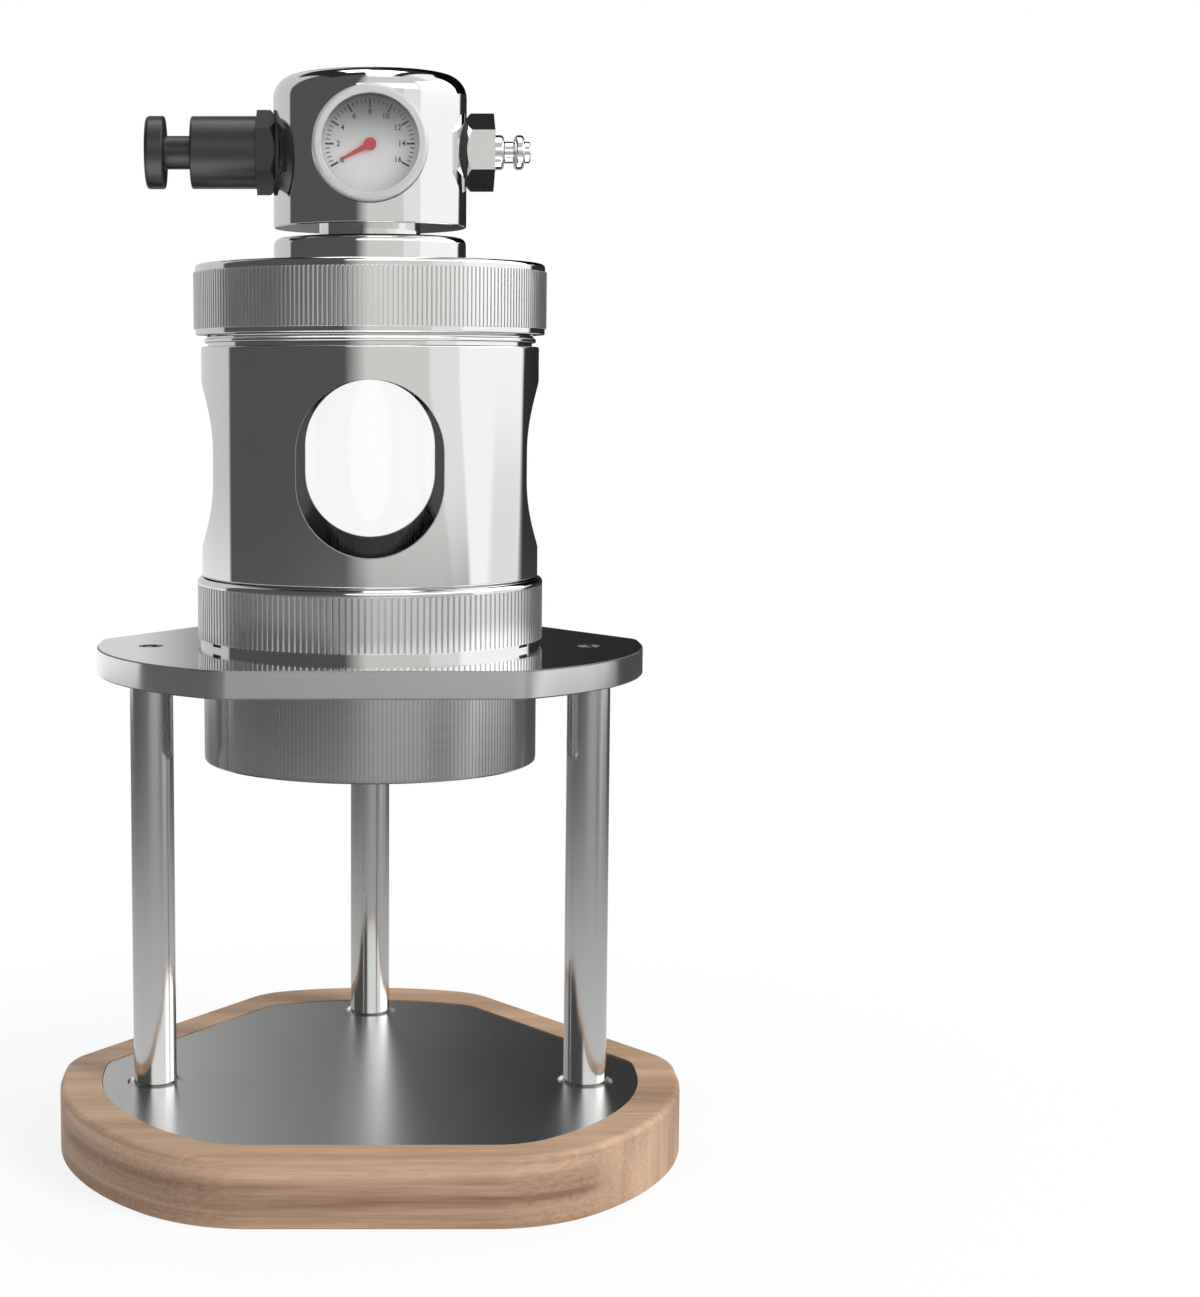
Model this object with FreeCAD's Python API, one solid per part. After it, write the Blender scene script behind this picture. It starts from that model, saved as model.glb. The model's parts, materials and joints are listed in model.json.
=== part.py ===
import FreeCAD
import Part
import math
import os

# Hand espresso maker driven by air pressure, on a three-legged stand.
# Millimetres. +Z is up, the gauge faces -Y, the air plug points to +X.
# The origin lies under the middle of the brewing axis, on the ground.

V = FreeCAD.Vector
ORIGIN = V(0, 0, 0)
X_AXIS = V(1, 0, 0)
Y_AXIS = V(0, 1, 0)
Z_AXIS = V(0, 0, 1)
FULL_TURN = 360.0

# ---- general clearances -------------------------------------------------
RUNNING_GAP = 0.3        # between pieces that turn or slide past each other
SCREW_FIT = 0.05         # radial, a screw or spigot in its bore
PLATE_GAP = 0.15         # round the steel plate in its pocket
SEAL_GAP = 0.2           # radial, round a loose gasket

# ---- outline shared by the two steel plates (seen from above) ------------
LOBE_RADIUS = 64.6       # arcs that run round behind the legs
LOBE_CENTRE_Y = 2.0      # middle of the rear arc
FRONT_ARC_SHIFT = 4.0    # middle of the front arcs, in front of that
FRONT_FLAT_DEPTH = 9.2   # how far the straight front edge cuts into its arcs
SIDE_FLAT_DEPTH = 8.85   # the same for the two straight rear edges
FRONT_FLAT_ANGLE = -90.0  # directions of the edges' normals, from +X
SIDE_FLAT_ANGLES = (35.0, 145.0)
OUTLINE_FILLET = 8.0     # blends each straight edge into its arcs

# ---- wooden base ----------------------------------------------------------
WOOD_HEIGHT = 16.0
WOOD_SIDE_MARGIN = 10.1  # rim of wood round the steel plate, at its sides
WOOD_FRONT_MARGIN = 9.4  # along the straight front edge
WOOD_REAR_MARGIN = 10.1  # along the straight rear edges
WOOD_BACK_MARGIN = 14.1  # behind the back leg
WOOD_TOP_EDGE = 1.6      # hand-rounded edges
WOOD_BOTTOM_EDGE = 0.5

# ---- steel base plate -----------------------------------------------------
BASE_PLATE_THICKNESS = 3.0
BASE_PLATE_SINK = 0.2    # top of the plate below the top of the wood
LEG_SEAT_MARGIN = 1.6    # shallow spot face that each leg stands in
LEG_SEAT_DEPTH = 0.6

# ---- legs -----------------------------------------------------------------
LEG_DIAMETER = 10.2
LEG_LENGTH = 99.5
LEG_END_CHAMFER = 0.4
BACK_LEG_INSET = 10.3    # middle of a leg inside the lobe's arc
FRONT_LEG_INSET = 11.96
FRONT_LEG_ANGLE = -11.4  # round the lobe's centre, from +X

# ---- screws that hold the legs ---------------------------------------------
TOP_SCREW_DIAMETER = 3.0
TOP_SCREW_HEAD_DIAMETER = 5.5
TOP_SCREW_HEAD_HEIGHT = 3.0
TOP_SCREW_LENGTH = 12.0
TOP_SCREW_SINK = 0.6     # head below the face of the top plate
TOP_SCREW_SOCKET = 2.5   # across flats
TOP_SCREW_SOCKET_DEPTH = 1.6
BOTTOM_SCREW_DIAMETER = 5.0
BOTTOM_SCREW_HEAD_DIAMETER = 8.5
BOTTOM_SCREW_HEAD_HEIGHT = 5.0
BOTTOM_SCREW_LENGTH = 20.0
BOTTOM_SCREW_SINK = 1.2
BOTTOM_SCREW_SOCKET = 4.0
BOTTOM_SCREW_SOCKET_DEPTH = 2.5
HEAD_POCKET_GAP = 0.2    # radial, round a screw head
THREAD_RUNOUT = 2.0      # bore deeper than its screw

# ---- top plate ------------------------------------------------------------
TOP_PLATE_THICKNESS = 6.3
PLATE_EDGE_CHAMFER = 0.3

# ---- glass and its seals ---------------------------------------------------
GLASS_RADIUS = 35.5
GLASS_WALL = 3.0
GLASS_LENGTH = 70.0
GLASS_SEAL_THICKNESS = 2.0

# ---- chamber body, every wall measured from its bore ------------------------
BODY_BORE_GAP = 0.5      # radial, between the glass and the body
BODY_WALL = 3.75
SPIGOT_WALL = 2.0        # lower male thread, in the group ring
GROOVE_WALL = 2.1        # undercut, bead and thread below the cap
GROOVE_HEIGHT = 0.9
BEAD_WALL = 3.0
BEAD_HEIGHT = 0.9
UPPER_THREAD_WALL = 2.5
SHOULDER_GAP = 0.2       # fine line between the body and the ring
BODY_EDGE_CHAMFER = 0.5
WINDOW_WIDTH = 33.2
WINDOW_SIDE = 6.5        # straight part of a window's side
WINDOW_SILL = 6.6        # plain wall below the windows
WINDOW_HEADER = 7.5      # plain wall above them
WINDOW_PAIR_ANGLES = (0.0, 90.0)

# ---- group: lower knurled ring with its threaded neck -----------------------
RING_WALL = 2.5          # round the body's spigot
RING_HEIGHT = 15.9
RING_TOP_CHAMFER = 0.8
RING_BAND_STEP = 0.25    # plain band that stands on the plate
RING_BAND_HEIGHT = 1.5
GROUP_FLOOR = 4.0        # thickness of the floor inside the ring
SCREEN_LIP = 3.0         # floor above the shower screen's seat
NECK_WALL = 3.0          # male thread for the portafilter
NECK_DROP = 10.7         # neck below the top plate

# ---- filter basket ------------------------------------------------------------
BASKET_BORE_RADIUS = 29.0
BASKET_WALL = 0.8
BASKET_DEPTH = 15.2
BASKET_FLANGE_THICKNESS = 1.0
BASKET_HOLE_DIAMETER = 1.8
BASKET_HOLE_PITCH = 13.0
HOLES_ROUND_THE_MIDDLE = 6

# ---- shower screen and gasket --------------------------------------------------
SCREEN_MARGIN = 0.7      # screen smaller than the basket's bore
SCREEN_THICKNESS = 0.8
SCREEN_RIM = 1.6         # turned-up rim of the screen
SCREEN_SEAT_WIDTH = 2.3  # rim covered by the group's floor
SCREEN_HOLE_DIAMETER = 2.4
SCREEN_HOLE_PITCH = 14.0
GASKET_THICKNESS = 2.0
GASKET_SEAT_DEPTH = 2.9  # back of the gasket below the screen's seat

# ---- portafilter cup ----------------------------------------------------------
CUP_WALL = 2.85          # round the neck's thread
CUP_FLOOR = 2.2
CUP_UNDER_BASKET = 2.5   # space for the coffee below the basket
CUP_BOTTOM_CHAMFER = 0.3
CUP_UPSTAND_WALL = 2.7   # inner wall that carries the basket
CUP_NECK_ROOM = 0.6      # radial, between that wall and the neck
CUP_FUNNEL_DEPTH = 0.9   # fall of the floor towards the outlet
OUTLET_RADIUS = 4.0

# ---- cap nut ------------------------------------------------------------------------
CAP_WALL = 2.25          # round the body's thread
CAP_HEIGHT = 16.3
CAP_TOP_THICKNESS = 3.8
CAP_TOP_CHAMFER = 0.9
CAP_BORE_RADIUS = 20.0
CAP_STANDOFF = 2.8       # body's groove, bead and first turn left in view
CAP_THREAD_ROOM = 3.2    # end of the body's thread below the inside of the cap

# ---- lid, collar and neck ---------------------------------------------------------------
LID_FLANGE_THICKNESS = 6.9
COLLAR_OVERLAP = 2.5     # collar wider than the cap's bore
COLLAR_HEIGHT = 5.8
COLLAR_FILLET = 2.4
NECK_TUBE_RADIUS = 11.85
NECK_TUBE_EXPOSED = 2.4  # neck between the collar and the head
NECK_SPIGOT_RADIUS = 8.0
NECK_SPIGOT_LENGTH = 7.6
AIR_WAY_RADIUS = 3.0

# ---- head -----------------------------------------------------------------------------------
HEAD_RADIUS = 22.55
HEAD_HEIGHT = 34.9
HEAD_TOP_FILLET = 5.2
HEAD_BOTTOM_CHAMFER = 0.4
PORT_HEIGHT = 17.5       # side ports and gauge above the head's underside
SPOT_FACE_DEPTH = 1.75   # flat seats of the two side ports
PORT_THREAD_RADIUS = 5.0
PORT_SPIGOT_LENGTH = 7.5
PORT_END_ROOM = 1.0      # port bored deeper than its spigot

# ---- pressure gauge ---------------------------------------------------------------------------
GAUGE_POCKET_DEPTH = 6.55  # flat floor of the gauge's pocket in the head
BEZEL_RADIUS = 13.0
BEZEL_DEPTH = 3.1
BEZEL_WALL = 1.15
BEZEL_BEVEL = 0.7
GAUGE_CASE_STEP = 0.3    # case smaller than the bezel
GAUGE_CASE_DEPTH = 5.5
GAUGE_CASE_WALL = 1.0
GAUGE_STEM_RADIUS = 3.0
GAUGE_STEM_LENGTH = 8.0
DIAL_THICKNESS = 0.6
DIAL_DEPTH = 1.7         # face of the dial behind the case's front edge
DIAL_STEP = 0.55         # ledge that the dial rests on
LENS_THICKNESS = 1.0
LENS_LIP = 1.05          # lens held by the bezel
NEEDLE_MARGIN = 3.45     # tip of the needle inside the dial's edge
NEEDLE_TAIL = 2.4
NEEDLE_WIDTH = 1.0
NEEDLE_TIP_WIDTH = 0.3
NEEDLE_THICKNESS = 0.4
NEEDLE_HUB_RADIUS = 1.3
NEEDLE_SPINDLE_RADIUS = 0.5
NEEDLE_LIFT = 0.3        # needle above the dial
NEEDLE_REST_ANGLE = 209.0  # counter-clockwise from +X, seen from the front

# ---- relief valve (left) -----------------------------------------------------------------------
RELIEF_WASHER_RADIUS = 9.2
RELIEF_WASHER_THICKNESS = 1.2
RELIEF_HEX = 17.0        # across flats
RELIEF_HEX_LENGTH = 4.4
RELIEF_PISTON_RADIUS = 5.6
RELIEF_PISTON_THICKNESS = 1.6
RELIEF_PISTON_ROOM = 0.8  # radial, round the piston
RELIEF_SHOULDER = 0.5    # step from the spring space to the thread
RELIEF_BARREL_WALL = 1.45
RELIEF_BARREL_LENGTH = 15.3
RELIEF_BARREL_CHAMFER = 0.5
RELIEF_GUIDE_LENGTH = 2.6
RELIEF_THREAD_LENGTH = 4.0
RELIEF_SEAT_RADIUS = 1.8
RELIEF_ROD_RADIUS = 2.2
RELIEF_STEM_RADIUS = 3.85
RELIEF_STEM_EXPOSED = 6.15
RELIEF_KNOB_RADIUS = 8.4
RELIEF_KNOB_LENGTH = 4.35
RELIEF_KNOB_DOME = 0.9
RELIEF_SPRING_RADIUS = 4.6
RELIEF_SPRING_WIRE = 0.7
RELIEF_SPRING_TURNS = 3.0

# ---- air inlet (right) ----------------------------------------------------------------------------
INLET_WASHER_RADIUS = 7.9
INLET_WASHER_THICKNESS = 1.6
INLET_HEX = 15.6         # across flats
INLET_HEX_LENGTH = 6.5
HEX_CHAMFER = 0.9
PLUG_RING_RADIUS = 4.0
PLUG_RING_LENGTH = 2.3
PLUG_RING_CHAMFER = 0.4
PLUG_GROOVE_RADIUS = 2.5
PLUG_GROOVE_LENGTH = 2.4
PLUG_NOSE_RADIUS = 2.5
PLUG_NOSE_LENGTH = 1.5
PLUG_NOSE_CHAMFER = 0.4
PLUG_BORE_RADIUS = 1.25
PLUG_SPIGOT_RADIUS = 3.4
PLUG_SPIGOT_LENGTH = 4.4
POPPET_ROOM = 0.4        # radial, between the poppet and its chamber
POPPET_CHAMBER_LENGTH = 7.2
POPPET_LIP_RADIUS = 2.0
POPPET_RADIUS = 2.8
POPPET_LENGTH = 1.8
POPPET_CONE = 0.6
POPPET_ROD_RADIUS = 1.0
POPPET_ROD_LENGTH = 2.4
CHECK_SPRING_RADIUS = 2.1
CHECK_SPRING_WIRE = 0.5
CHECK_SPRING_TURNS = 3.0

# ---- radii that follow from the sizes above ---------------------------------------------------
LEG_SEAT_RADIUS = LEG_DIAMETER / 2 + LEG_SEAT_MARGIN
BODY_BORE_RADIUS = GLASS_RADIUS + BODY_BORE_GAP
BODY_RADIUS = BODY_BORE_RADIUS + BODY_WALL
SPIGOT_RADIUS = BODY_BORE_RADIUS + SPIGOT_WALL
GROOVE_RADIUS = BODY_BORE_RADIUS + GROOVE_WALL
BEAD_RADIUS = BODY_BORE_RADIUS + BEAD_WALL
UPPER_THREAD_RADIUS = BODY_BORE_RADIUS + UPPER_THREAD_WALL
RING_SOCKET_RADIUS = SPIGOT_RADIUS + SCREW_FIT
RING_RADIUS = RING_SOCKET_RADIUS + RING_WALL
RING_BAND_RADIUS = RING_RADIUS - RING_BAND_STEP
BASKET_RADIUS = BASKET_BORE_RADIUS + BASKET_WALL
CUP_CAVITY_RADIUS = BASKET_RADIUS + RUNNING_GAP
CUP_UPSTAND_RADIUS = CUP_CAVITY_RADIUS + CUP_UPSTAND_WALL
NECK_BORE_RADIUS = CUP_UPSTAND_RADIUS + CUP_NECK_ROOM
NECK_RADIUS = NECK_BORE_RADIUS + NECK_WALL
CUP_THREAD_RADIUS = NECK_RADIUS + RUNNING_GAP
CUP_RADIUS = CUP_THREAD_RADIUS + CUP_WALL
SCREEN_RADIUS = BASKET_BORE_RADIUS - SCREEN_MARGIN
GROUP_PORT_RADIUS = SCREEN_RADIUS - SCREEN_SEAT_WIDTH
CAP_THREAD_RADIUS = UPPER_THREAD_RADIUS + RUNNING_GAP
CAP_RADIUS = CAP_THREAD_RADIUS + CAP_WALL
LID_RADIUS = BODY_BORE_RADIUS - RUNNING_GAP
BOSS_RADIUS = CAP_BORE_RADIUS - RUNNING_GAP
COLLAR_RADIUS = CAP_BORE_RADIUS + COLLAR_OVERLAP
GAUGE_CASE_RADIUS = BEZEL_RADIUS - GAUGE_CASE_STEP
DIAL_RADIUS = GAUGE_CASE_RADIUS - GAUGE_CASE_WALL - SCREW_FIT
LENS_RADIUS = BEZEL_RADIUS - BEZEL_WALL - SCREW_FIT
BEZEL_OPENING_RADIUS = LENS_RADIUS - LENS_LIP
NEEDLE_LENGTH = DIAL_RADIUS - NEEDLE_MARGIN
SPRING_SPACE_RADIUS = RELIEF_PISTON_RADIUS + RELIEF_PISTON_ROOM
RELIEF_THREAD_RADIUS = SPRING_SPACE_RADIUS + RELIEF_SHOULDER
RELIEF_BARREL_RADIUS = RELIEF_THREAD_RADIUS + RELIEF_BARREL_WALL
POPPET_CHAMBER_RADIUS = POPPET_RADIUS + POPPET_ROOM

# ---- heights that follow -----------------------------------------------------------------------
Z_BASE_PLATE_TOP = WOOD_HEIGHT - BASE_PLATE_SINK
Z_BASE_PLATE_BOTTOM = Z_BASE_PLATE_TOP - BASE_PLATE_THICKNESS
Z_LEG_FOOT = Z_BASE_PLATE_TOP - LEG_SEAT_DEPTH
Z_TOP_PLATE_BOTTOM = Z_LEG_FOOT + LEG_LENGTH
Z_TOP_PLATE_TOP = Z_TOP_PLATE_BOTTOM + TOP_PLATE_THICKNESS
Z_RING_TOP = Z_TOP_PLATE_TOP + RING_HEIGHT
Z_GROUP_FLOOR = Z_TOP_PLATE_TOP + GROUP_FLOOR
Z_SCREEN_SEAT = Z_TOP_PLATE_TOP - SCREEN_LIP
Z_GASKET_BACK = Z_SCREEN_SEAT - GASKET_SEAT_DEPTH
Z_GASKET_FACE = Z_GASKET_BACK - GASKET_THICKNESS
Z_NECK_END = Z_TOP_PLATE_BOTTOM - NECK_DROP
Z_FLANGE_SEAT = Z_GASKET_FACE - BASKET_FLANGE_THICKNESS
Z_BASKET_BOTTOM = Z_GASKET_FACE - BASKET_DEPTH
Z_CUP_FLOOR = Z_BASKET_BOTTOM - CUP_UNDER_BASKET
Z_CUP_BOTTOM = Z_CUP_FLOOR - CUP_FLOOR
Z_CUP_TOP = Z_TOP_PLATE_BOTTOM - RUNNING_GAP
Z_GLASS_BOTTOM = Z_GROUP_FLOOR + GLASS_SEAL_THICKNESS
Z_GLASS_TOP = Z_GLASS_BOTTOM + GLASS_LENGTH
Z_LID_BOTTOM = Z_GLASS_TOP + GLASS_SEAL_THICKNESS
Z_LID_TOP = Z_LID_BOTTOM + LID_FLANGE_THICKNESS
Z_CAP_INNER = Z_LID_TOP + RUNNING_GAP
Z_CAP_TOP = Z_CAP_INNER + CAP_TOP_THICKNESS
Z_CAP_BOTTOM = Z_CAP_TOP - CAP_HEIGHT
Z_SHOULDER = Z_RING_TOP + SHOULDER_GAP
Z_BODY_EDGE = Z_CAP_BOTTOM - CAP_STANDOFF
Z_BEAD = Z_BODY_EDGE + GROOVE_HEIGHT
Z_THREAD_START = Z_BEAD + BEAD_HEIGHT
Z_THREAD_END = Z_CAP_INNER - CAP_THREAD_ROOM
Z_COLLAR_BOTTOM = Z_CAP_TOP + RUNNING_GAP
Z_COLLAR_TOP = Z_COLLAR_BOTTOM + COLLAR_HEIGHT
Z_HEAD_BOTTOM = Z_COLLAR_TOP + NECK_TUBE_EXPOSED
Z_HEAD_TOP = Z_HEAD_BOTTOM + HEAD_HEIGHT
Z_PORT = Z_HEAD_BOTTOM + PORT_HEIGHT

# ---- places of the legs and of the head's seats ---------------------------------------------------
FRONT_LEG_REACH = LOBE_RADIUS - FRONT_LEG_INSET
FRONT_LEG_X = FRONT_LEG_REACH * math.cos(math.radians(FRONT_LEG_ANGLE))
FRONT_LEG_Y = FRONT_LEG_REACH * math.sin(math.radians(FRONT_LEG_ANGLE)) + LOBE_CENTRE_Y
BACK_LEG_Y = LOBE_CENTRE_Y + LOBE_RADIUS - BACK_LEG_INSET
LEG_PLACES = (
    (-FRONT_LEG_X, FRONT_LEG_Y),
    (FRONT_LEG_X, FRONT_LEG_Y),
    (0.0, BACK_LEG_Y),
)
SPOT_FACE_X = HEAD_RADIUS - SPOT_FACE_DEPTH
GAUGE_SEAT_Y = GAUGE_POCKET_DEPTH - HEAD_RADIUS


# ---- helpers ------------------------------------------------------------------------------------------
def turned(profile, axis):
    """Solid of revolution; profile is (place along the axis, radius) pairs."""
    if axis == Z_AXIS:
        corners = [V(r, 0, a) for a, r in profile]
    elif axis == X_AXIS:
        corners = [V(a, 0, r) for a, r in profile]
    else:
        corners = [V(r, a, 0) for a, r in profile]
    face = Part.Face(Part.makePolygon(corners + [corners[0]]))
    solid = face.revolve(ORIGIN, axis, FULL_TURN)
    if solid.Volume < 0:
        solid.reverse()
    return solid


def ring(outer, inner, low, high):
    """Plain upright ring."""
    return turned([(low, inner), (low, outer), (high, outer), (high, inner)], Z_AXIS)


def upright(radius, low, high, x=0.0, y=0.0):
    """Plain upright cylinder."""
    return Part.makeCylinder(radius, high - low, V(x, y, low), Z_AXIS)


def circle_edges(solid, radius, place, axis):
    """Edges of solid that are circles of this radius at this place along axis."""
    found = []
    for edge in solid.Edges:
        curve = edge.Curve
        if not isinstance(curve, Part.Circle):
            continue
        along = curve.Center.dot(axis)
        if abs(curve.Radius - radius) < 1e-4 and abs(along - place) < 1e-4:
            found.append(edge)
    return found


def hex_prism(across_flats, low, high, axis, centre):
    """Six-sided prism along Z or X; along X its corners point up and down."""
    corner = across_flats / math.sqrt(3.0)
    points = []
    for step in range(6):
        angle = math.radians(90.0 + 60.0 * step)
        across = corner * math.cos(angle)
        up = corner * math.sin(angle)
        if axis == Z_AXIS:
            points.append(centre + V(across, up, low))
        else:
            points.append(centre + V(low, across, up))
    face = Part.Face(Part.makePolygon(points + [points[0]]))
    return face.extrude(axis * (high - low))


def at_port(solid):
    """Lift a piece turned about the X or Y axis to the ports' height."""
    solid.translate(V(0, 0, Z_PORT))
    return solid


def outline_prism(low, high, side=0.0, front=0.0, rear=0.0, back=0.0):
    """Three-lobed plate outline as a prism, with a margin outside each kind of edge."""
    lobe = LOBE_RADIUS + side
    height = high - low
    front_arc_y = LOBE_CENTRE_Y - FRONT_ARC_SHIFT
    rear_arc_y = LOBE_CENTRE_Y + back - side
    prism = Part.makeBox(2 * lobe, rear_arc_y - front_arc_y, height, V(-lobe, front_arc_y, low))
    for middle_y in (front_arc_y, rear_arc_y):
        prism = prism.fuse(Part.makeCylinder(lobe, height, V(0, middle_y, low), Z_AXIS))
    prism = prism.removeSplitter()
    flats = [(FRONT_FLAT_ANGLE, LOBE_RADIUS + FRONT_ARC_SHIFT - FRONT_FLAT_DEPTH + front)]
    flats += [(angle, LOBE_RADIUS - SIDE_FLAT_DEPTH + rear) for angle in SIDE_FLAT_ANGLES]
    for direction, reach in flats:
        waste = Part.makeBox(lobe, 4 * lobe, height, V(reach, -2 * lobe, low))
        waste.rotate(ORIGIN, Z_AXIS, direction)
        waste.translate(V(0, LOBE_CENTRE_Y, 0))
        prism = prism.cut(waste)
    outline = min(prism.Faces, key=lambda face: face.CenterOfMass.z)
    blend = OUTLINE_FILLET + side
    rounded = outline.makeOffset2D(-blend).makeOffset2D(blend)
    return rounded.Faces[0].extrude(V(0, 0, height))


def hole_pattern(diameter, pitch, low, high):
    """Drills for a middle hole and a ring of holes round it."""
    drills = [upright(diameter / 2, low, high)]
    for step in range(HOLES_ROUND_THE_MIDDLE):
        angle = 2 * math.pi * step / HOLES_ROUND_THE_MIDDLE
        x = pitch * math.cos(angle)
        y = pitch * math.sin(angle)
        drills.append(upright(diameter / 2, low, high, x, y))
    return Part.makeCompound(drills)


def coil(radius, wire, turns, low, high):
    """Compression spring of square wire along X, from low to high."""
    height = high - low - wire
    helix = Part.makeHelix(height / turns, height, radius)
    half = wire / 2
    corners = [
        V(radius - half, 0, -half),
        V(radius + half, 0, -half),
        V(radius + half, 0, half),
        V(radius - half, 0, half),
    ]
    section = Part.makePolygon(corners + [corners[0]])
    wire_body = Part.Wire(helix.Edges).makePipeShell([section], True, True)
    wire_body.rotate(ORIGIN, Y_AXIS, 90)
    wire_body.translate(V(low + half, 0, 0))
    return wire_body


# ---- stand --------------------------------------------------------------------------------------------
def wood_base():
    """Rounded wooden base with a pocket for the steel plate."""
    solid = outline_prism(0, WOOD_HEIGHT, WOOD_SIDE_MARGIN, WOOD_FRONT_MARGIN,
                          WOOD_REAR_MARGIN, WOOD_BACK_MARGIN)
    top_rim = [e for e in solid.Edges if e.BoundBox.ZMin > WOOD_HEIGHT - 1e-6]
    solid = solid.makeFillet(WOOD_TOP_EDGE, top_rim)
    bottom_rim = [e for e in solid.Edges if e.BoundBox.ZMax < 1e-6]
    solid = solid.makeChamfer(WOOD_BOTTOM_EDGE, bottom_rim)
    solid = solid.cut(outline_prism(Z_BASE_PLATE_BOTTOM, WOOD_HEIGHT + 1, PLATE_GAP, PLATE_GAP,
                                    PLATE_GAP, PLATE_GAP))
    head_seat = BOTTOM_SCREW_SINK + BOTTOM_SCREW_HEAD_HEIGHT
    for x, y in LEG_PLACES:
        pocket = BOTTOM_SCREW_HEAD_DIAMETER / 2 + HEAD_POCKET_GAP
        solid = solid.cut(upright(pocket, -1, head_seat, x, y))
        shank = BOTTOM_SCREW_DIAMETER / 2 + SCREW_FIT
        solid = solid.cut(upright(shank, -1, WOOD_HEIGHT, x, y))
    return solid


def base_plate():
    """Brushed steel plate let into the base, with a seat for each leg."""
    solid = outline_prism(Z_BASE_PLATE_BOTTOM, Z_BASE_PLATE_TOP)
    for x, y in LEG_PLACES:
        solid = solid.cut(upright(LEG_SEAT_RADIUS, Z_LEG_FOOT, Z_BASE_PLATE_TOP + 1, x, y))
        shank = BOTTOM_SCREW_DIAMETER / 2 + SCREW_FIT
        solid = solid.cut(upright(shank, 0, Z_BASE_PLATE_TOP, x, y))
    return solid


def leg(x, y):
    """Round steel leg, drilled at both ends for its screws."""
    solid = upright(LEG_DIAMETER / 2, Z_LEG_FOOT, Z_TOP_PLATE_BOTTOM, x, y)
    radius = LEG_DIAMETER / 2
    ends = circle_edges(solid, radius, Z_LEG_FOOT, Z_AXIS)
    ends += circle_edges(solid, radius, Z_TOP_PLATE_BOTTOM, Z_AXIS)
    solid = solid.makeChamfer(LEG_END_CHAMFER, ends)
    low_end = BOTTOM_SCREW_SINK + BOTTOM_SCREW_HEAD_HEIGHT + BOTTOM_SCREW_LENGTH + THREAD_RUNOUT
    solid = solid.cut(upright(BOTTOM_SCREW_DIAMETER / 2 + SCREW_FIT, 0, low_end, x, y))
    high_end = Z_TOP_PLATE_TOP - TOP_SCREW_SINK - TOP_SCREW_HEAD_HEIGHT
    high_end -= TOP_SCREW_LENGTH + THREAD_RUNOUT
    bore = TOP_SCREW_DIAMETER / 2 + SCREW_FIT
    return solid.cut(upright(bore, high_end, Z_TOP_PLATE_TOP, x, y))


def top_plate():
    """Plate that carries the brewing group on the three legs."""
    solid = outline_prism(Z_TOP_PLATE_BOTTOM, Z_TOP_PLATE_TOP)
    rims = [e for e in solid.Edges if e.BoundBox.ZLength < 1e-6]
    solid = solid.makeChamfer(PLATE_EDGE_CHAMFER, rims)
    bore = NECK_RADIUS + SCREW_FIT
    solid = solid.cut(upright(bore, 0, Z_TOP_PLATE_TOP + 1))
    head_seat = Z_TOP_PLATE_TOP - TOP_SCREW_SINK - TOP_SCREW_HEAD_HEIGHT
    for x, y in LEG_PLACES:
        pocket = TOP_SCREW_HEAD_DIAMETER / 2 + HEAD_POCKET_GAP
        solid = solid.cut(upright(pocket, head_seat, Z_TOP_PLATE_TOP + 1, x, y))
        shank = TOP_SCREW_DIAMETER / 2 + SCREW_FIT
        solid = solid.cut(upright(shank, 0, Z_TOP_PLATE_TOP, x, y))
    return solid


def leg_top_screws():
    """Socket screws, heads sunk in the top plate."""
    screws = []
    face = Z_TOP_PLATE_TOP - TOP_SCREW_SINK
    seat = face - TOP_SCREW_HEAD_HEIGHT
    for x, y in LEG_PLACES:
        head = upright(TOP_SCREW_HEAD_DIAMETER / 2, seat, face, x, y)
        shank = upright(TOP_SCREW_DIAMETER / 2, seat - TOP_SCREW_LENGTH, seat, x, y)
        floor = face - TOP_SCREW_SOCKET_DEPTH
        socket = hex_prism(TOP_SCREW_SOCKET, floor, face + 1, Z_AXIS, V(x, y, 0))
        screws.append(head.fuse(shank).removeSplitter().cut(socket))
    return Part.makeCompound(screws)


def leg_bottom_screws():
    """Socket screws, heads sunk in the underside of the wood."""
    screws = []
    face = BOTTOM_SCREW_SINK
    seat = face + BOTTOM_SCREW_HEAD_HEIGHT
    for x, y in LEG_PLACES:
        head = upright(BOTTOM_SCREW_HEAD_DIAMETER / 2, face, seat, x, y)
        end = seat + BOTTOM_SCREW_LENGTH
        shank = upright(BOTTOM_SCREW_DIAMETER / 2, seat, end, x, y)
        ceiling = face + BOTTOM_SCREW_SOCKET_DEPTH
        socket = hex_prism(BOTTOM_SCREW_SOCKET, face - 1, ceiling, Z_AXIS, V(x, y, 0))
        screws.append(head.fuse(shank).removeSplitter().cut(socket))
    return Part.makeCompound(screws)


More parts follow.
